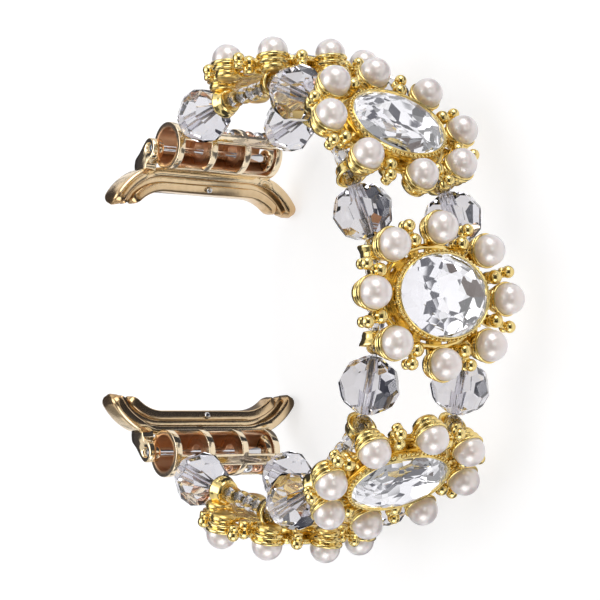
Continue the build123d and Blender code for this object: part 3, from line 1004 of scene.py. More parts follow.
        # The bezel's lower wall takes the painted shade.
        shape.add(points, faces, self.place, depth=self.depth_of(points, *self.bezel_depths))
        along, across = self.stone_along + self.grain_offset, self.stone_across + self.grain_offset
        spread = np.linspace(0, TURN, self.grain_path_steps)
        length = run_length(np.stack([along * np.cos(spread), across * np.sin(spread)], 1))
        stops = np.interp(np.arange(self.grains) / self.grains * length[-1], length, spread)
        t = np.linspace(0, math.pi, self.grain_rows)
        points, faces = turned(np.stack([np.sin(t), -np.cos(t)], 1) * self.grain_radius, self.grain_sides)
        for x, z in zip(along * np.cos(stops), across * np.sin(stops)):
            grain = self.place.shifted(x=x, y=self.grain_height, z=z)
            # Each small bead takes a little of the painted shade.
            shape.add(points, faces, grain, depth=np.full(len(points), self.grain_depth))

    def add_base(self, shape: Shape) -> None:
        """The pierced oval base behind the stone, with its cross bars.

        Each ring has its inner and outer distance from the base's oval and its top. Each cross bar has its reach
        along and across the band, its low and its high.

        Args:
            shape: The casting.
        """
        for inner, outer, top in self.base_rings:
            ring = box_section((inner, self.base_low), (outer, top), self.base_rounding)
            points, faces = oval_swept(ring, self.base_oval.across, self.base_oval.along, self.base_steps)
            shape.add(points, faces, self.place, depth=self.depth_of(points))
        for along, across, low, high in self.cross_bars:
            self.bar(shape, (-along, -across), (along, across), self.cross_bar_width, (low, high))

    def add_cup(self, shape: Shape, share: float) -> None:
        """A ridged pearl cup and the spoke that carries it."""
        self.stud(shape, np.array(self.cup), self.pearl_ring.at(share), self.cup_sides)
        self.bar(shape, self.spoke_root.at(share), self.pearl_ring.at(share), self.spoke_width, self.spoke_heights)

    def add_balls(self, shape: Shape, share: float) -> None:
        """A larger ball on the base and a smaller one out on a neck.

        Args:
            shape: The casting.
            share: Their place as a share of a turn.
        """
        near, far = self.large_ball.ring.at(share), self.small_ball.ring.at(share)
        self.stud(shape, self.large_ball.profile(), near, self.large_ball.sides)
        self.stud(shape, self.small_ball.profile(), far, self.small_ball.sides)
        self.bar(shape, self.ball_root.at(share), near, self.ball_bar_width, self.ball_bar_heights)
        self.bar(shape, near, far, self.neck_width, self.neck_heights)

    def add_cap(self, shape: Shape, side: int, strand: int) -> None:
        """A concave bead cap round a strand: outer wall, rolled rim, hollow and cord hole.

        Args:
            shape: The casting.
            side: 1 for the end towards local x, -1 for the other.
            strand: 1 for the strand towards local z, -1 for the other.
        """
        profile = np.array(self.cap) + [0, self.lug_end - self.cap_length]
        points, faces = turned(profile, self.cap_sides, closed=True)
        place = self.place.shifted(z=strand * STRAND_OFFSET).pointed(side * ALONG)
        # Painted shade in the cap's hollow, darker nearer the cord hole, up to a limit.
        inwards = self.cap_bright_radius - np.hypot(points[:, 0], points[:, 2])
        shape.add(points, faces, place, depth=np.clip(inwards / self.cap_fade, 0, self.cap_deepest))

    def stone(self) -> Shape:
        """The oval brilliant: a round cut stretched to the oval, with a foiled back.

        Each ring has its count of facets, its turn, its slope s, and a point (reach, height) that its facets pass
        through: they lie reach cos s + height sin s from the middle.

        Returns:
            The shape; slot 0 is the glass in front and slot 1 the foil behind.
        """
        normals, distances = [[OUTWARDS]], [self.crown]
        for count, turn, slope, reach, height in self.stone_rings:
            s = math.radians(slope)
            normals.append(facet_ring(count, turn, slope))
            distances += [reach * self.stone_unit * math.cos(s) + height * math.sin(s)] * count
        corners, facets = cut_stone(np.concatenate([*normals, [-OUTWARDS]]), np.array([*distances, self.pavilion]))
        corners = corners * [self.stone_along / self.stone_unit, 1.0, self.stone_across / self.stone_unit]
        front = [f for f in facets if corners[f, 1].mean() > self.foil_from]
        back = [f for f in facets if corners[f, 1].mean() <= self.foil_from]
        shape = Shape(f"medallion_{self.number}_cut_stone")
        shape.add(corners, front + back, self.place.shifted(y=self.girdle_height), smooth=False)
        shape.slots = [0] * len(front) + [1] * len(back)
        return shape

    def pearl_set(self) -> Shape:
        """The pearls, each a turned ball: (R cos t, R sin t), flat where it is glued in.

        Returns:
            The shape.
        """
        shape = Shape(f"medallion_{self.number}_pearl_set")
        t = np.linspace(-math.pi / 2, math.pi / 2, self.pearl_rows)
        ball = np.stack([np.cos(t), np.sin(t)], 1) * self.pearl_radius
        ball[:, 1] = np.maximum(ball[:, 1], -self.pearl_foot)
        points, faces = turned(ball, self.pearl_sides)
        for n in range(self.pearls):
            x, z = self.pearl_ring.at(n / self.pearls)
            shape.add(points, faces, self.place.shifted(x=x, y=self.pearl_height, z=z))
        return shape

    def seed_set(self) -> Shape:
        """The clear seed beads on each strand between the bead caps.

        Returns:
            The shape.
        """
        shape = Shape(f"medallion_{self.number}_seed_set")
        reach = self.lug_end - self.cap_length
        pitch = 2 * reach / self.seeds
        for strand in (-1, 1):
            for n in range(self.seeds):
                spot = self.place.shifted(x=pitch * (n + 0.5) - reach, z=strand * STRAND_OFFSET).pointed(ALONG)
                bead_on(shape, spot, self.seed_radius, pitch - self.seed_play, SEED_BORE)
        return shape

    def dress(self, wardrobe: Wardrobe) -> None:
        """Builds the medallion's pieces and ties them to its body.

        Args:
            wardrobe: The materials.
        """
        body = f"medallion_{self.number}"
        glass = wardrobe.by_finish[Finish.STONE]
        wardrobe.hang(self.casting(), body, Finish.GOLD, f"{body}_frame")
        wardrobe.hang(self.stone(), body, Finish.STONE, f"{body}_stone", glass, wardrobe.foil)
        wardrobe.hang(self.pearl_set(), body, Finish.PEARL, f"{body}_pearls")
        wardrobe.hang(self.seed_set(), body, Finish.CRYSTAL, f"{body}_seed_beads", wardrobe.seed_glass)


# Beads and cord


def bead_on(shape: Shape, place: Place, radius: float, length: float, bore: float, slot: int = 0) -> None:
    """Adds a round-shouldered bead with a cord hole: r = R sqrt(1 - 0.72 |t|^3) over its length.

    Args:
        shape: The shape that gets it.
        place: Its middle, with the cord along the y axis.
        radius: Its largest radius.
        length: Its length along the cord.
        bore: The hole's radius.
        slot: Its material slot.
    """
    t = np.linspace(-1, 1, BEAD_ROWS)
    outer = np.stack([radius * np.sqrt(1 - 0.72 * np.abs(t) ** 3), t * length / 2], 1)
    profile = np.concatenate([outer, [[bore, length / 2], [bore, -length / 2]]])
    points, faces = turned(profile, BEAD_SIDES, closed=True)
    shape.add(points, faces, place, slot=slot)


def cord_between(start: np.ndarray, end: np.ndarray, side: np.ndarray, up: np.ndarray) -> Surface:
    """A straight length of cord: a circle carried from one local place to another.

    Args:
        start: The first place.
        end: The last place.
        side: One direction across the cord.
        up: The other one.

    Returns:
        Points and quads.
    """
    angle = np.arange(CORD_SIDES) * TURN / CORD_SIDES
    section = np.stack([np.cos(angle), np.sin(angle)], 1) * CORD_RADIUS
    return carried(section, start + (end - start) * np.linspace(0, 1, CORD_STEPS)[:, None], side, up)


@dataclass
class Gap:
    """The beads and cord between two medallions, or between a medallion and a connector."""

    side: str
    number: int
    place: Place
    length: float
    near_end: np.ndarray
    far_end: np.ndarray
    crystal_radius: float = 4.0
    crystal_middle: float = 5.11
    facet_distance: float = 3.66
    end_distance: float = 3.7
    facet_rows: tuple[tuple[float, float], ...] = ((-56, 0.5), (-19, 0.0), (19, 0.5), (56, 0.0))
    facets_in_row: int = 8
    bore: float = 0.53
    bore_sides: int = 24
    spacer_radius: float = 1.22
    spacer_length: float = 1.95
    spacer_bore: float = 0.62

    @classmethod
    def placed(cls, loop: Loop, side: str, number: int) -> "Gap":
        """A gap in its place on the loop, with its cord's far ends in the middles of the medallions.

        Args:
            loop: The loop's frames.
            side: Which half of the band it is in.
            number: Its number from the middle medallion.

        Returns:
            The gap.
        """
        place, length = loop.gap(side, number)
        far_end = length * ALONG
        first = MIDDLE_MEDALLION + (1 - number if side == "top" else number - 1)
        if number < LAST_GAP:
            far_end = place.local(loop.medallion(first + (-1 if side == "top" else 1)).origin)
        return cls(side, number, place, length, place.local(loop.medallion(first).origin), far_end)

    def strand(self, world_side: int) -> Place:
        """The frame of the strand on the side of +Z (1) or -Z (-1)."""
        sign = world_side if self.place.z[2] > 0 else -world_side
        return self.place.shifted(z=sign * STRAND_OFFSET)

    def circle(self, angle: np.ndarray, height: float) -> np.ndarray:
        """Points of the crystal's cord hole at some angles and a height."""
        return np.stack([self.bore * np.cos(angle), np.full(len(angle), height), self.bore * np.sin(angle)], 1)

    def crystal(self, name: str, world_side: int) -> Shape:
        """A round cut bead: rows of facets, flat ends and a clear hole.

        Each row has the latitude of its facets' normals in degrees, and its turn as a share of one facet.

        Args:
            name: Which of the pair it is.
            world_side: 1 for the strand on the side of +Z, -1 for the other.

        Returns:
            The shape.
        """
        rows = [facet_ring(self.facets_in_row, turn, latitude) for latitude, turn in self.facet_rows]
        distances = [self.facet_distance] * self.facets_in_row * len(rows) + [self.end_distance] * 2
        corners, facets = cut_stone(np.concatenate([*rows, [OUTWARDS, -OUTWARDS]]), np.array(distances))
        corners = corners * min(1.0, self.crystal_radius / np.linalg.norm(corners, axis=1).max())
        top = float(corners[:, 1].max())
        ends = [f for f in facets if abs(abs(corners[f, 1].mean()) - top) < 1e-3]
        faces = [f for f in facets if f not in ends]
        points = corners
        for end in ends:
            rim = self.circle(np.arctan2(corners[end, 2], corners[end, 0]), corners[end[0], 1])
            first, count = len(points), len(end)
            points = np.concatenate([points, rim])
            faces += [[end[k], end[(k + 1) % count], first + (k + 1) % count, first + k] for k in range(count)]
        place = self.strand(world_side).shifted(x=self.crystal_middle).pointed(ALONG)
        shape = Shape(f"{self.side}_gap_{self.number}_cut_{name}")
        shape.add(points, faces, place, smooth=False)
        angle = np.arange(self.bore_sides) * TURN / self.bore_sides
        tube = np.concatenate([self.circle(angle, -top), self.circle(angle, top)])
        return shape.add(tube, grid_faces(2, self.bore_sides, False, True), place)

    def spacers(self, x: float, tilt: np.ndarray, label: str) -> Shape:
        """The pair of small clear beads at one end.

        Args:
            x: Their place along the gap.
            tilt: The direction of their holes.
            label: The end of the piece's name.

        Returns:
            The shape.
        """
        shape = Shape(f"{self.side}_gap_{self.number}_{label}")
        for world_side in (-1, 1):
            spot = self.strand(world_side).shifted(x=x).pointed(tilt)
            bead_on(shape, spot, self.spacer_radius, self.spacer_length, self.spacer_bore)
        return shape

    def cord_run(self, part: str, start: np.ndarray, end: np.ndarray) -> Shape:
        """A length of cord on both strands between two local places.

        Args:
            part: The end of the piece's name.
            start: The first place.
            end: The last place.

        Returns:
            The shape.
        """
        shape = Shape(f"{self.side}_gap_{self.number}_cord_{part}")
        side = np.cross((end - start) / np.linalg.norm(end - start), ACROSS)
        points, faces = cord_between(start, end, side, ACROSS)
        for world_side in (-1, 1):
            shape.add(points, faces, self.strand(world_side))
        return shape

    def stretch(self, wardrobe: Wardrobe, link: str, far: str) -> None:
        """Builds the cord's middle length, which runs between two bodies and rides neither.

        Args:
            wardrobe: The materials.
            link: The body at its near end.
            far: The body at its far end.
        """
        tip = self.length * ALONG
        piece = self.cord_run("middle", np.zeros(3), tip).build(wardrobe.by_finish[Finish.CORD])
        tuple(self.place.carry(tip[None])[0])
        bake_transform(piece)
        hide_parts(f"{self.side}_gap_{self.number}_cord")
        LOG.info("%s stretches between %s and %s", piece.name, link, far)

    def dress(self, wardrobe: Wardrobe) -> None:
        """Builds the gap's pieces and ties each, but the cord's middle length, to its body.

        Args:
            wardrobe: The materials.
        """
        node, clear = f"{self.side}_gap_{self.number}", wardrobe.seed_glass
        link, far = f"{self.side}_link_{self.number}", f"{self.side}_far_beads_{self.number}"
        tip = self.length * ALONG
        for name, world_side in (("left", 1), ("right", -1)):
            crystal = f"{node}_crystal_{name}"
            wardrobe.hang(self.crystal(name, world_side), crystal, Finish.CRYSTAL, crystal)
        near = self.spacers(0.0, halfway(ALONG, -self.near_end), "near_rondelles")
        wardrobe.hang(near, link, Finish.CRYSTAL, f"{node}_near_spacers", clear)
        if self.number < LAST_GAP:
            beads = self.spacers(self.length, halfway(ALONG, self.far_end - tip), "far_rondelles")
            wardrobe.hang(beads, far, Finish.CRYSTAL, f"{node}_far_spacers", clear)
        near_cord = self.cord_run("near", self.near_end, np.zeros(3))
        wardrobe.hang(near_cord, medallion_at(self.side, self.number - 1), Finish.CORD, f"{node}_cord")
        self.stretch(wardrobe, link, far)
        if self.number < LAST_GAP:
            far_cord = self.cord_run("far", tip, self.far_end)
            wardrobe.hang(far_cord, medallion_at(self.side, self.number), Finish.CORD, f"{node}_cord")


# Ends


@dataclass
class Connector:
    """The windowed tube with its webs, and the row of beads that holds the cord's end."""

    side: str
    place: Place
    tube_x: float = 1.5
    tube_y: float = -0.9
    outer: float = 3.5
    inner: float = 2.65
    half_length: float = 9.3
    ring_width: float = 1.1
    web_middle: float = 3.0
    web_width: float = 1.1
    web_inner: float = 1.2
    back_wall: tuple[float, float] = (68, 245)
    window_bar: tuple[float, float] = (-31, -3)
    bar_inset: float = 0.2
    wall_step: float = 5.0
    wall_rounding: float = 0.12
    row_x: float = 3.9
    row_pitch: float = 1.78
    row_outer_start: float = 3.55
    row_radius: float = 0.93
    row_length: float = 1.7

    def wall(
        self,
        shape: Shape,
        angles: tuple[float, float],
        middle: float,
        width: float,
        inner: float | None = None,
    ) -> None:
        """Adds a stretch of tube wall: a rounded box in (radius, z), carried along an arc about z.

        Args:
            shape: The tube.
            angles: The arc's two ends in degrees from x; a whole turn closes on itself.
            middle: The stretch's middle on z.
            width: Its width on z.
            inner: Its inner radius, if it isn't the tube's.
        """
        steps = int((angles[1] - angles[0]) / self.wall_step)
        angle = np.radians(np.linspace(*angles, steps + 1))
        low, high = middle - width / 2, middle + width / 2
        start = self.inner if inner is None else inner
        section = box_section((start, low), (self.outer, high), self.wall_rounding)
        out = np.stack([np.cos(angle), np.sin(angle), 0 * angle], 1)
        if angles[1] - angles[0] >= 360:
            rings = section[:, :1] * out[:-1, None] + section[:, 1:] * ACROSS
            points, faces = rings.reshape(-1, 3), grid_faces(steps, len(section), True, True)
        else:
            points, faces = carried(section, np.zeros((len(angle), 3)), out, ACROSS)
        # Painted shade: the wall takes the deep colour towards the tube's inside.
        depth = (self.outer - np.hypot(points[:, 0], points[:, 1])) / (self.outer - self.inner)
        shape.add(points, faces, self.place.shifted(x=self.tube_x, y=self.tube_y), depth=np.clip(depth, 0, 1))

    def shell(self) -> Shape:
        """The tube: rings, webs, a bar on the wrist side and the closed back.

        Returns:
            The shape.
        """
        shape = Shape(f"{self.side}_windowed_tube")
        ring_middle, length = self.half_length - self.ring_width / 2, 2 * (self.half_length - self.bar_inset)
        for side in (-1, 1):
            self.wall(shape, (0, 360), side * ring_middle, self.ring_width)
        for side in (-1, 1):
            self.wall(shape, (0, 360), side * self.web_middle, self.web_width, self.web_inner)
        self.wall(shape, self.back_wall, 0.0, length)
        self.wall(shape, self.window_bar, 0.0, length)
        return shape

    def end_row(self) -> Shape:
        """Six small metal beads round the cord, silver and copper by turns.

        Returns:
            The shape; slot 0 is silver and slot 1 copper.
        """
        shape = Shape(f"{self.side}_cord_end_row")
        half = [self.row_pitch / 2, *(self.row_outer_start + self.row_pitch * (n + 0.5) for n in range(2))]
        for n, z in enumerate(sorted([-z for z in half] + half)):
            spot = self.place.shifted(x=self.row_x, z=z).pointed(ACROSS)
            bead_on(shape, spot, self.row_radius, self.row_length, SEED_BORE, slot=n % 2)
        return shape

    def cord_end(self) -> Shape:
        """The cord across the connector, between the two strands."""
        start, end = (np.array([self.row_x, 0, side * STRAND_OFFSET]) for side in (-1, 1))
        return Shape(f"{self.side}_gap_3_cord_end").add(*cord_between(start, end, ALONG, OUTWARDS), self.place)

    def dress(self, wardrobe: Wardrobe) -> None:
        """Builds the connector's pieces and ties them to their bodies.

        Args:
            wardrobe: The materials.
        """
        row, steel = f"{self.side}_far_beads_{LAST_GAP}", wardrobe.by_finish[Finish.STEEL]
        connector = f"{self.side}_connector"
        wardrobe.hang(self.shell(), connector, Finish.CHAMPAGNE, connector, wardrobe.shaded_inside)
        wardrobe.hang(self.end_row(), row, Finish.STEEL, f"{self.side}_end_beads", steel, wardrobe.copper)
        wardrobe.hang(self.cord_end(), row, Finish.CORD, f"{self.side}_gap_{LAST_GAP}_cord")


@dataclass(frozen=True)
class Layer:
    """One layer of the adapter's T section: insets of its two faces from the curve, thickness, tip and rounding."""

    outer: float
    inner: float
    thickness: float
    tip: float
    rounding: float
    swells: bool = False


@dataclass
class Adapter:
    """The slide-in adapter with its ears, pin and lock button."""

    side: str
    place: Place
    rail_y: float = 2.4
    curve_across: float = 17.0
    corner: float = 9.5
    foot: float = 2.9
    arm_thickness: float = 4.2
    arm_rise: float = 0.35
    arm_start: float = 9.3
    arm_run: float = 2.5
    curve_steps: int = 110
    tip_share: float = 0.02
    # The next two fields set the painted shade that darkens the arms away from the foot.
    painted_shade_run: float = 7.0
    painted_shade_most: float = 0.75
    arm: Layer = Layer(-0.45, 1.0, 3.0, -8.55, 0.5, True)
    neck: Layer = Layer(0.9, 1.8, 1.7, -8.3, 0.1)
    rail: Layer = Layer(1.7, 3.2, 2.8, -8.1, 0.3)
    ear_middle: float = 10.4
    ear_width: float = 1.8
    ear_radius: float = 1.45
    ear_bevel: float = 0.1
    hole_radius: float = 0.72
    eye_arc: tuple[float, float] = (35, -100)
    eye_steps: int = 15
    ear_rounding: float = 0.3
    ear_foot: Profile = (
        (-1.1, -1.05), (-1.7, -0.4), (-2.3, 0.7), (-3.6, 1.0), (-3.8, 2.4), (-3.6, 3.8), (-2.5, 4.0), (-1.5, 3.8),
        (-0.6, 2.6), (0.5, 1.6),
    )
    pin_end: float = 11.05
    pin_sides: int = 28
    button_sides: int = 24
    pin_head: Profile = ((0, 0), (0.5, 0), (0.68, 0.12), (0.7, 0.3))
    button_x: float = 2.45
    button_drop: float = 1.4
    button_profile: Profile = (
        (0, -1.6), (0.48, -1.6), (0.5, -1.5), (0.5, 0.3), (0.44, 0.5), (0.3, 0.64), (0, 0.7),
    )

    def curve_path(self, inset: float, tip: float, steps: int) -> Surface:
        """Points and outward normals along the curve that the adapter follows.

        The curve is straight in its middle, with a quarter circle on each side, and is cut where it passes the tip.

        Args:
            inset: How far inside the outermost curve it runs.
            tip: The x at which it ends.
            steps: Points along it.

        Returns:
            Points and unit normals.
        """
        corner, flat = self.corner - inset, self.curve_across - self.corner
        middle_x = -self.foot - self.corner
        reach = math.acos(max(-1.0, min(1.0, (tip - middle_x) / corner)))
        run = np.linspace(-(flat + corner * reach), flat + corner * reach, steps)
        over = np.clip(np.abs(run) - flat, 0, None) / corner
        sign = np.sign(run)
        x = middle_x + corner * np.cos(over)
        z = sign * (np.minimum(np.abs(run), flat) + corner * np.sin(over))
        normal = np.stack([np.cos(over), 0 * over, sign * np.sin(over)], 1)
        return np.stack([x, np.full(steps, self.rail_y), z], 1), normal

    def add_layer(self, shape: Shape, layer: Layer) -> None:
        """Adds one layer of the T section, rounded at its tips; a swelling one grows from the ears outwards.

        A half-round tip: size share = sqrt(1 - (1 - s / R)^2) at a distance s from the tip, R being half the
        thickness. A swell: 3 g^2 - 2 g^3, g going from 0 to 1 where the arm starts.

        Args:
            shape: The adapter's body.
            layer: The layer.
        """
        path, normal = self.curve_path((layer.outer + layer.inner) / 2, layer.tip, self.curve_steps)
        depth, half = layer.inner - layer.outer, layer.thickness / 2
        section = box_section((-depth / 2, -half), (depth / 2, half), layer.rounding)
        length = run_length(path)
        edge = np.minimum(length, length[-1] - length) / half
        share = np.sqrt(np.clip(1 - np.clip(1 - edge, 0, 1) ** 2, self.tip_share, 1))
        grown = np.clip((np.abs(path[:, 2:]) - self.arm_start) / self.arm_run, 0, 1) * layer.swells
        grown = grown * grown * (3 - 2 * grown)
        path = path + normal * self.arm_rise / 2 * grown
        up = OUTWARDS * (1 + (self.arm_thickness / layer.thickness - 1) * grown)
        points, faces = carried(section, path, normal * (1 + self.arm_rise / depth * grown), up, share)
        # Painted shade: the colour darkens along the arms, away from the foot, up to a limit.
        depths = np.clip(-(points[:, 0] + self.foot) / self.painted_shade_run, 0, self.painted_shade_most)
        shape.add(points, faces, self.place, depth=depths)

    def add_ear(self, shape: Shape, side: int) -> None:
        """Adds one ear: an eye round the pin with a foot down to the arm, its edges bevelled.

        Args:
            shape: The adapter's body.
            side: 1 for the ear towards local z, -1 for the other.
        """
        turn = np.radians(np.linspace(*self.eye_arc, self.eye_steps))
        eye = np.stack([np.cos(turn), np.sin(turn)], 1) * self.ear_radius
        outline = smooth_section(np.concatenate([eye, np.array(self.ear_foot)]), self.ear_rounding, 2)
        angle = np.arctan2(outline[:, 1], outline[:, 0])
        hole = np.stack([np.cos(angle), np.sin(angle)], 1) * self.hole_radius
        inset = outline * (1 - self.ear_bevel / np.linalg.norm(outline, axis=1, keepdims=True))
        flare = hole * (1 + self.ear_bevel / self.hole_radius)
        low, high = self.ear_middle - self.ear_width / 2, self.ear_middle + self.ear_width / 2
        deep_low, deep_high = low + self.ear_bevel, high - self.ear_bevel
        loop = (
            (hole, deep_low), (flare, low), (inset, low), (outline, deep_low),
            (outline, deep_high), (inset, high), (flare, high), (hole, deep_high),
        )
        rings = [np.column_stack([ring, np.full(len(ring), side * z)]) for ring, z in loop]
        shape.add(np.concatenate(rings), grid_faces(len(loop), len(outline), True, True), self.place)

    def body(self) -> Shape:
        """The arm, neck and rail along the curve, and the two ears.

        Returns:
            The shape.
        """
        shape = Shape(f"{self.side}_slide_in_adapter")
        for layer in (self.arm, self.neck, self.rail):
            self.add_layer(shape, layer)
        for side in (-1, 1):
            self.add_ear(shape, side)
        return shape

    def pin(self) -> Shape:
        """The pin with a domed head at each end.

        Returns:
            The shape.
        """
        head = np.array(self.pin_head) - [0, self.pin_end]
        points, faces = turned(np.concatenate([head, head[::-1] * [1, -1]]), self.pin_sides)
        return Shape(f"{self.side}_pin").add(points, faces, self.place.pointed(ACROSS))

    def button(self) -> Shape:
        """The lock button: a short turned pin with a domed nose.

        Returns:
            The shape.
        """
        points, faces = turned(np.array(self.button_profile), self.button_sides)
        seat = self.place.shifted(x=-self.foot - self.button_x, y=self.rail_y - self.button_drop)
        return Shape(f"{self.side}_button").add(points, faces, seat.pointed(-OUTWARDS))

    def dress(self, wardrobe: Wardrobe) -> None:
        """Builds the adapter's pieces and ties them to their bodies.

        Args:
            wardrobe: The materials.
        """
        body, button = f"{self.side}_adapter", f"{self.side}_lock_button"
        wardrobe.hang(self.body(), body, Finish.CHAMPAGNE, body)
        wardrobe.hang(self.pin(), body, Finish.STEEL, f"{self.side}_hinge_pin")
        wardrobe.hang(self.button(), button, Finish.STEEL, button)


# Studio


@dataclass(frozen=True)
class Lamp:
    """A square area lamp: its direction in the camera's right, up and back, its distance, size and power."""

    name: str
    way: Direction
    distance: float
    size: float
    power: float


@dataclass(frozen=True)
class Card:
    """A flat card that only reflections and refractions see.

    Its strength is multiplied by through for rays that have passed glass and met a mirror, such as a foiled stone's.
    """

    name: str
    way: Direction
    distance: float
    size: tuple[float, float]
    colour: Colour
    strength: float = 1.0
    through: float = 1.0

    def paint(self) -> bpy.types.Material:
        """The card's glowing paint.

        Returns:
            The material.
        """
        material, sheet, shader = new_material(self.name + "_paint")
        path = sheet.node("ShaderNodeLightPath").outputs
        foiled = sheet.math("MULTIPLY", path["Is Transmission Ray"], met_mirror(sheet, path))
        sheet.feed(
            shader,
            {
                "Base Color": (0, 0, 0, 1),
                "Specular IOR Level": 0.0,
                "Emission Color": (*self.colour, 1),
                "Emission Strength": sheet.mix(foiled, self.strength, self.strength * self.through),
            },
        )
        return material


def met_mirror(sheet: Sheet, path: bpy.types.bpy_prop_collection) -> bpy.types.NodeSocket:
    """1 for rays that have met a mirror or a glossy surface, 0 for the rest."""
    return sheet.math("GREATER_THAN", path["Glossy Depth"], 0.5)


@dataclass(frozen=True)
class FloorPaint:
    """A pale floor that shows white to the camera, and soft dark and light patches to mirrored rays."""

    plain: Colour = (0.55, 0.55, 0.56)
    bounce: Colour = (0.9, 0.9, 0.9)
    dark_patch: Colour = (0.14, 0.14, 0.16)
    light_patch: Colour = (0.6, 0.6, 0.62)
    patch_scale: float = 38.0
    patch_edge: tuple[float, float] = (0.41, 0.46)
    patch_glow: float = 0.45
    glow_through_glass: float = 0.38
    camera_glow: tuple[float, float] = (0.6, 0.8)
    camera_reach: tuple[float, float] = (0.2, 0.9)

    def build(self) -> bpy.types.Material:
        """Mixes what each kind of ray sees.

        Returns:
            The material.
        """
        material, sheet, shader = new_material("floor_paint")
        path, place = sheet.node("ShaderNodeLightPath").outputs, sheet.coordinates()
        patches = sheet.ranged(sheet.noise(self.patch_scale, 0.0, place), self.patch_edge)
        mirrored = met_mirror(sheet, path)
        behind = sheet.math("MULTIPLY", path["Is Transmission Ray"], self.glow_through_glass)
        glow = sheet.mix(mirrored, behind, sheet.math("MULTIPLY", patches, self.patch_glow))
        distance = sheet.node("ShaderNodeVectorMath", {0: place}, operation="LENGTH").outputs["Value"]
        lift = sheet.ranged(distance, self.camera_reach, self.camera_glow)
        patched = sheet.mix(patches, (*self.dark_patch, 1), (*self.light_patch, 1), "RGBA")
        colour = sheet.mix(mirrored, (*self.plain, 1), patched, "RGBA")
        sheet.feed(
            shader,
            {
                "Roughness": 0.9,
                "Base Color": sheet.mix(path["Is Diffuse Ray"], colour, (*self.bounce, 1), "RGBA"),
                "Emission Color": (1, 1, 1, 1),
                "Emission Strength": sheet.math("MULTIPLY_ADD", path["Is Camera Ray"], lift, glow),
            },
        )
        return material


@dataclass(frozen=True)
class RoomLight:
    """The world: even and pale, white to the camera, and patched to mirrored rays."""

    toward: Direction
    turn_range: tuple[float, float] = (-0.35, 0.3)
    room_levels: tuple[float, float] = (0.85, 0.44)
    patch_scale: float = 3.2
    patch_edge: tuple[float, float] = (0.4, 0.47)
    patch_levels: tuple[float, float] = (0.3, 1.3)
    more_through_glass: float = 0.7
    plain: float = 0.42
    clear: float = 0.93

    def build(self) -> bpy.types.World:
        """Mixes what each kind of ray sees.

        Returns:
            The world.
        """
        world = bpy.data.worlds.new("studio")
        world.use_nodes = True
        sheet = Sheet(world.node_tree)
        path, place = sheet.node("ShaderNodeLightPath").outputs, sheet.coordinates("Generated")
        front = {0: place, 1: self.toward}
        front = sheet.node("ShaderNodeVectorMath", front, operation="DOT_PRODUCT").outputs["Value"]
        room = sheet.ranged(front, self.turn_range, self.room_levels)
        shade = sheet.ranged(sheet.noise(self.patch_scale, 0.0, place), self.patch_edge, self.patch_levels)
        foiled = sheet.math("MULTIPLY_ADD", path["Is Transmission Ray"], self.more_through_glass, 1.0)
        walls = sheet.math("MULTIPLY", sheet.math("MULTIPLY", room, shade), foiled)
        direct = sheet.mix(path["Is Transmission Ray"], self.plain, self.clear)
        seen = sheet.mix(met_mirror(sheet, path), direct, walls)
        background = world.node_tree.nodes["Background"]
        sheet.feed(background, {"Color": (1, 1, 1, 1), "Strength": sheet.mix(path["Is Camera Ray"], seen, 1.0)})
        return world


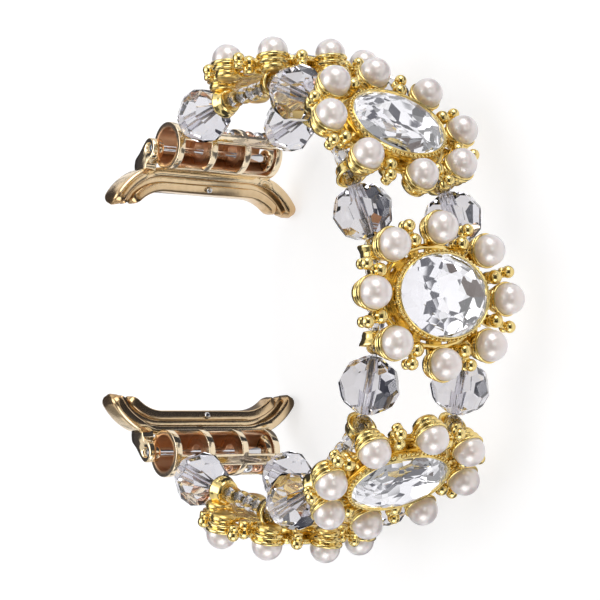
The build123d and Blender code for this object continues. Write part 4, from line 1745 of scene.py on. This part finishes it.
@dataclass
class Studio:
    """Floor, world, lamps, reflected cards and the camera. The flag's direction is the row frame's own."""

    centre: np.ndarray
    right: Direction = (0.600594, -0.016955, -0.799374)
    up: Direction = (0.074464, 0.996616, 0.034808)
    back: Direction = (0.796079, -0.08043, 0.599824)
    camera_from_middle_medallion: Direction = (185.5137, -20.2123, 159.3551)
    focal_pixels: float = 1892.04
    picture_pixels: float = 600.0
    sensor: float = 36.0
    shift: tuple[float, float] = (-0.00064, 0.00715)
    floor_reach: float = 3.0
    lamps: tuple[Lamp, ...] = (
        Lamp("key_left", (-0.93, 0.08, 0.4), 0.7, 0.52, 1.6),
        Lamp("key_top", (0.05, 0.93, 0.4), 0.7, 0.52, 1.8),
        Lamp("key_low", (0.05, -0.85, 0.5), 0.7, 0.52, 1.45),
        Lamp("front", (0.25, 0.2, 0.9), 1.2, 0.3, 1.9),
    )
    cards: tuple[Card, ...] = (
        Card("white_left", (-1.0, 0.35, 0.5), 0.8, (0.7, 0.8), (1.0, 1.0, 1.0), 1.15),
        Card("white_top", (0.1, 1.0, 0.45), 0.8, (0.9, 0.45), (1.0, 1.0, 1.0), 1.3),
        Card("white_low", (0.1, -1.0, 0.6), 0.8, (0.8, 0.45), (1.0, 1.0, 1.0), 1.0),
        Card("camera_card", (0.12, -0.05, 1.0), 0.5, (0.46, 0.46), (0.05, 0.043, 0.04), through=4.0),
        Card("behind_card", (-0.8, 0.05, -0.6), 0.6, (0.65, 0.65), (0.06, 0.06, 0.075), through=4.0),
    )
    flag: Card = Card("dark_flag", (-1.0, 0.0, 0.0), 0.0425, (0.03, 0.031), (0.05, 0.052, 0.066), through=4.0)

    def way(self, x: float, y: float, z: float) -> np.ndarray:
        """A direction given in the camera's right, up and back."""
        v = x * np.array(self.right) + y * np.array(self.up) + z * np.array(self.back)
        return v / np.linalg.norm(v)

    def panel(self, name: str, corners: list[list[float]], material: bpy.types.Material) -> bpy.types.Object:
        """A stage object of one flat face.

        Args:
            name: Its name.
            corners: Its corners in order.
            material: Its paint.

        Returns:
            The object.
        """
        mesh = bpy.data.meshes.new(name)
        mesh.from_pydata(corners, [], [(0, 1, 2, 3)])
        mesh.materials.append(material)
        panel = bpy.data.objects.new(name, mesh)
        bpy.context.scene.collection.objects.link(panel)
        return panel

    def floor(self) -> None:
        """A large pale floor that keeps the shadow."""
        r = self.floor_reach
        self.panel("floor", [[-r, -r, 0], [r, -r, 0], [r, r, 0], [-r, r, 0]], FloorPaint().build())

    def hang_lamp(self, lamp: Lamp) -> None:
        """An area lamp that looks at the object.

        Args:
            lamp: The lamp.
        """
        light = bpy.data.lights.new(lamp.name, "AREA")
        light.shape, light.size, light.energy = "SQUARE", lamp.size, lamp.power
        hung = bpy.data.objects.new(lamp.name, light)
        bpy.context.scene.collection.objects.link(hung)
        direction = self.way(*lamp.way)
        hung.location = Vector((self.centre + direction * lamp.distance).tolist())
        hung.rotation_mode = "QUATERNION"
        hung.rotation_quaternion = Vector(direction.tolist()).to_track_quat("Z", "Y")
        hung.visible_camera = False

    def hang_card(self, card: Card, direction: np.ndarray) -> None:
        """A card that faces the object from a direction.

        Args:
            card: The card.
            direction: Where it stands, in the row frame.
        """
        up, right = np.array(self.up), np.array(self.right)
        x = np.cross(up if abs(direction @ up) < 0.9 else right, direction)
        x = x / np.linalg.norm(x) * card.size[0] / 2
        y = np.cross(direction, x)
        y = y / np.linalg.norm(y) * card.size[1] / 2
        middle = self.centre + direction * card.distance
        corners = [(middle + a * x + b * y).tolist() for a, b in ((-1, -1), (1, -1), (1, 1), (-1, 1))]
        hung = self.panel(card.name, corners, card.paint())
        hung.visible_camera = hung.visible_diffuse = hung.visible_shadow = hung.visible_volume_scatter = False

    def camera(self) -> None:
        """The camera at the photograph's angle."""
        data = bpy.data.cameras.new("view")
        data.sensor_width, data.lens = self.sensor, self.focal_pixels / self.picture_pixels * self.sensor
        data.shift_x, data.shift_y = self.shift
        data.clip_start, data.clip_end = 0.01, 20
        camera = bpy.data.objects.new("view", data)
        bpy.context.scene.collection.objects.link(camera)
        spot = self.centre + MM * np.array(self.camera_from_middle_medallion)
        placed = np.eye(4)
        placed[:3] = np.column_stack([self.right, self.up, self.back, spot])
        camera.matrix_world = Matrix(placed.tolist())
        bpy.context.scene.camera = camera

    def build(self) -> None:
        """Sets up everything."""
        bpy.context.scene.view_settings.view_transform = "Standard"
        bpy.context.scene.world = RoomLight(self.back).build()
        self.floor()
        self.camera()
        for lamp in self.lamps:
            self.hang_lamp(lamp)
        for card in self.cards:
            self.hang_card(card, self.way(*card.way))
        self.hang_card(self.flag, np.array(self.flag.way))


def main() -> None:
    """Builds the band's looks, sub-assembly by sub-assembly, and the studio round it."""
    logging.basicConfig(level=logging.INFO, format="%(message)s", stream=sys.stdout)
    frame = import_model()
    loop, wardrobe = Loop(frame), Wardrobe()
    for number in Loop.MEDALLION_ENDS:
        Medallion(number, loop.medallion(number)).dress(wardrobe)
    for side in ("top", "bottom"):
        for number in range(1, LAST_GAP + 1):
            Gap.placed(loop, side, number).dress(wardrobe)
        Connector(side, loop.connector(side)).dress(wardrobe)
        Adapter(side, loop.adapter(side)).dress(wardrobe)
    Studio(loop.medallion(MIDDLE_MEDALLION).origin).build()


if __name__ == "__main__":
    main()
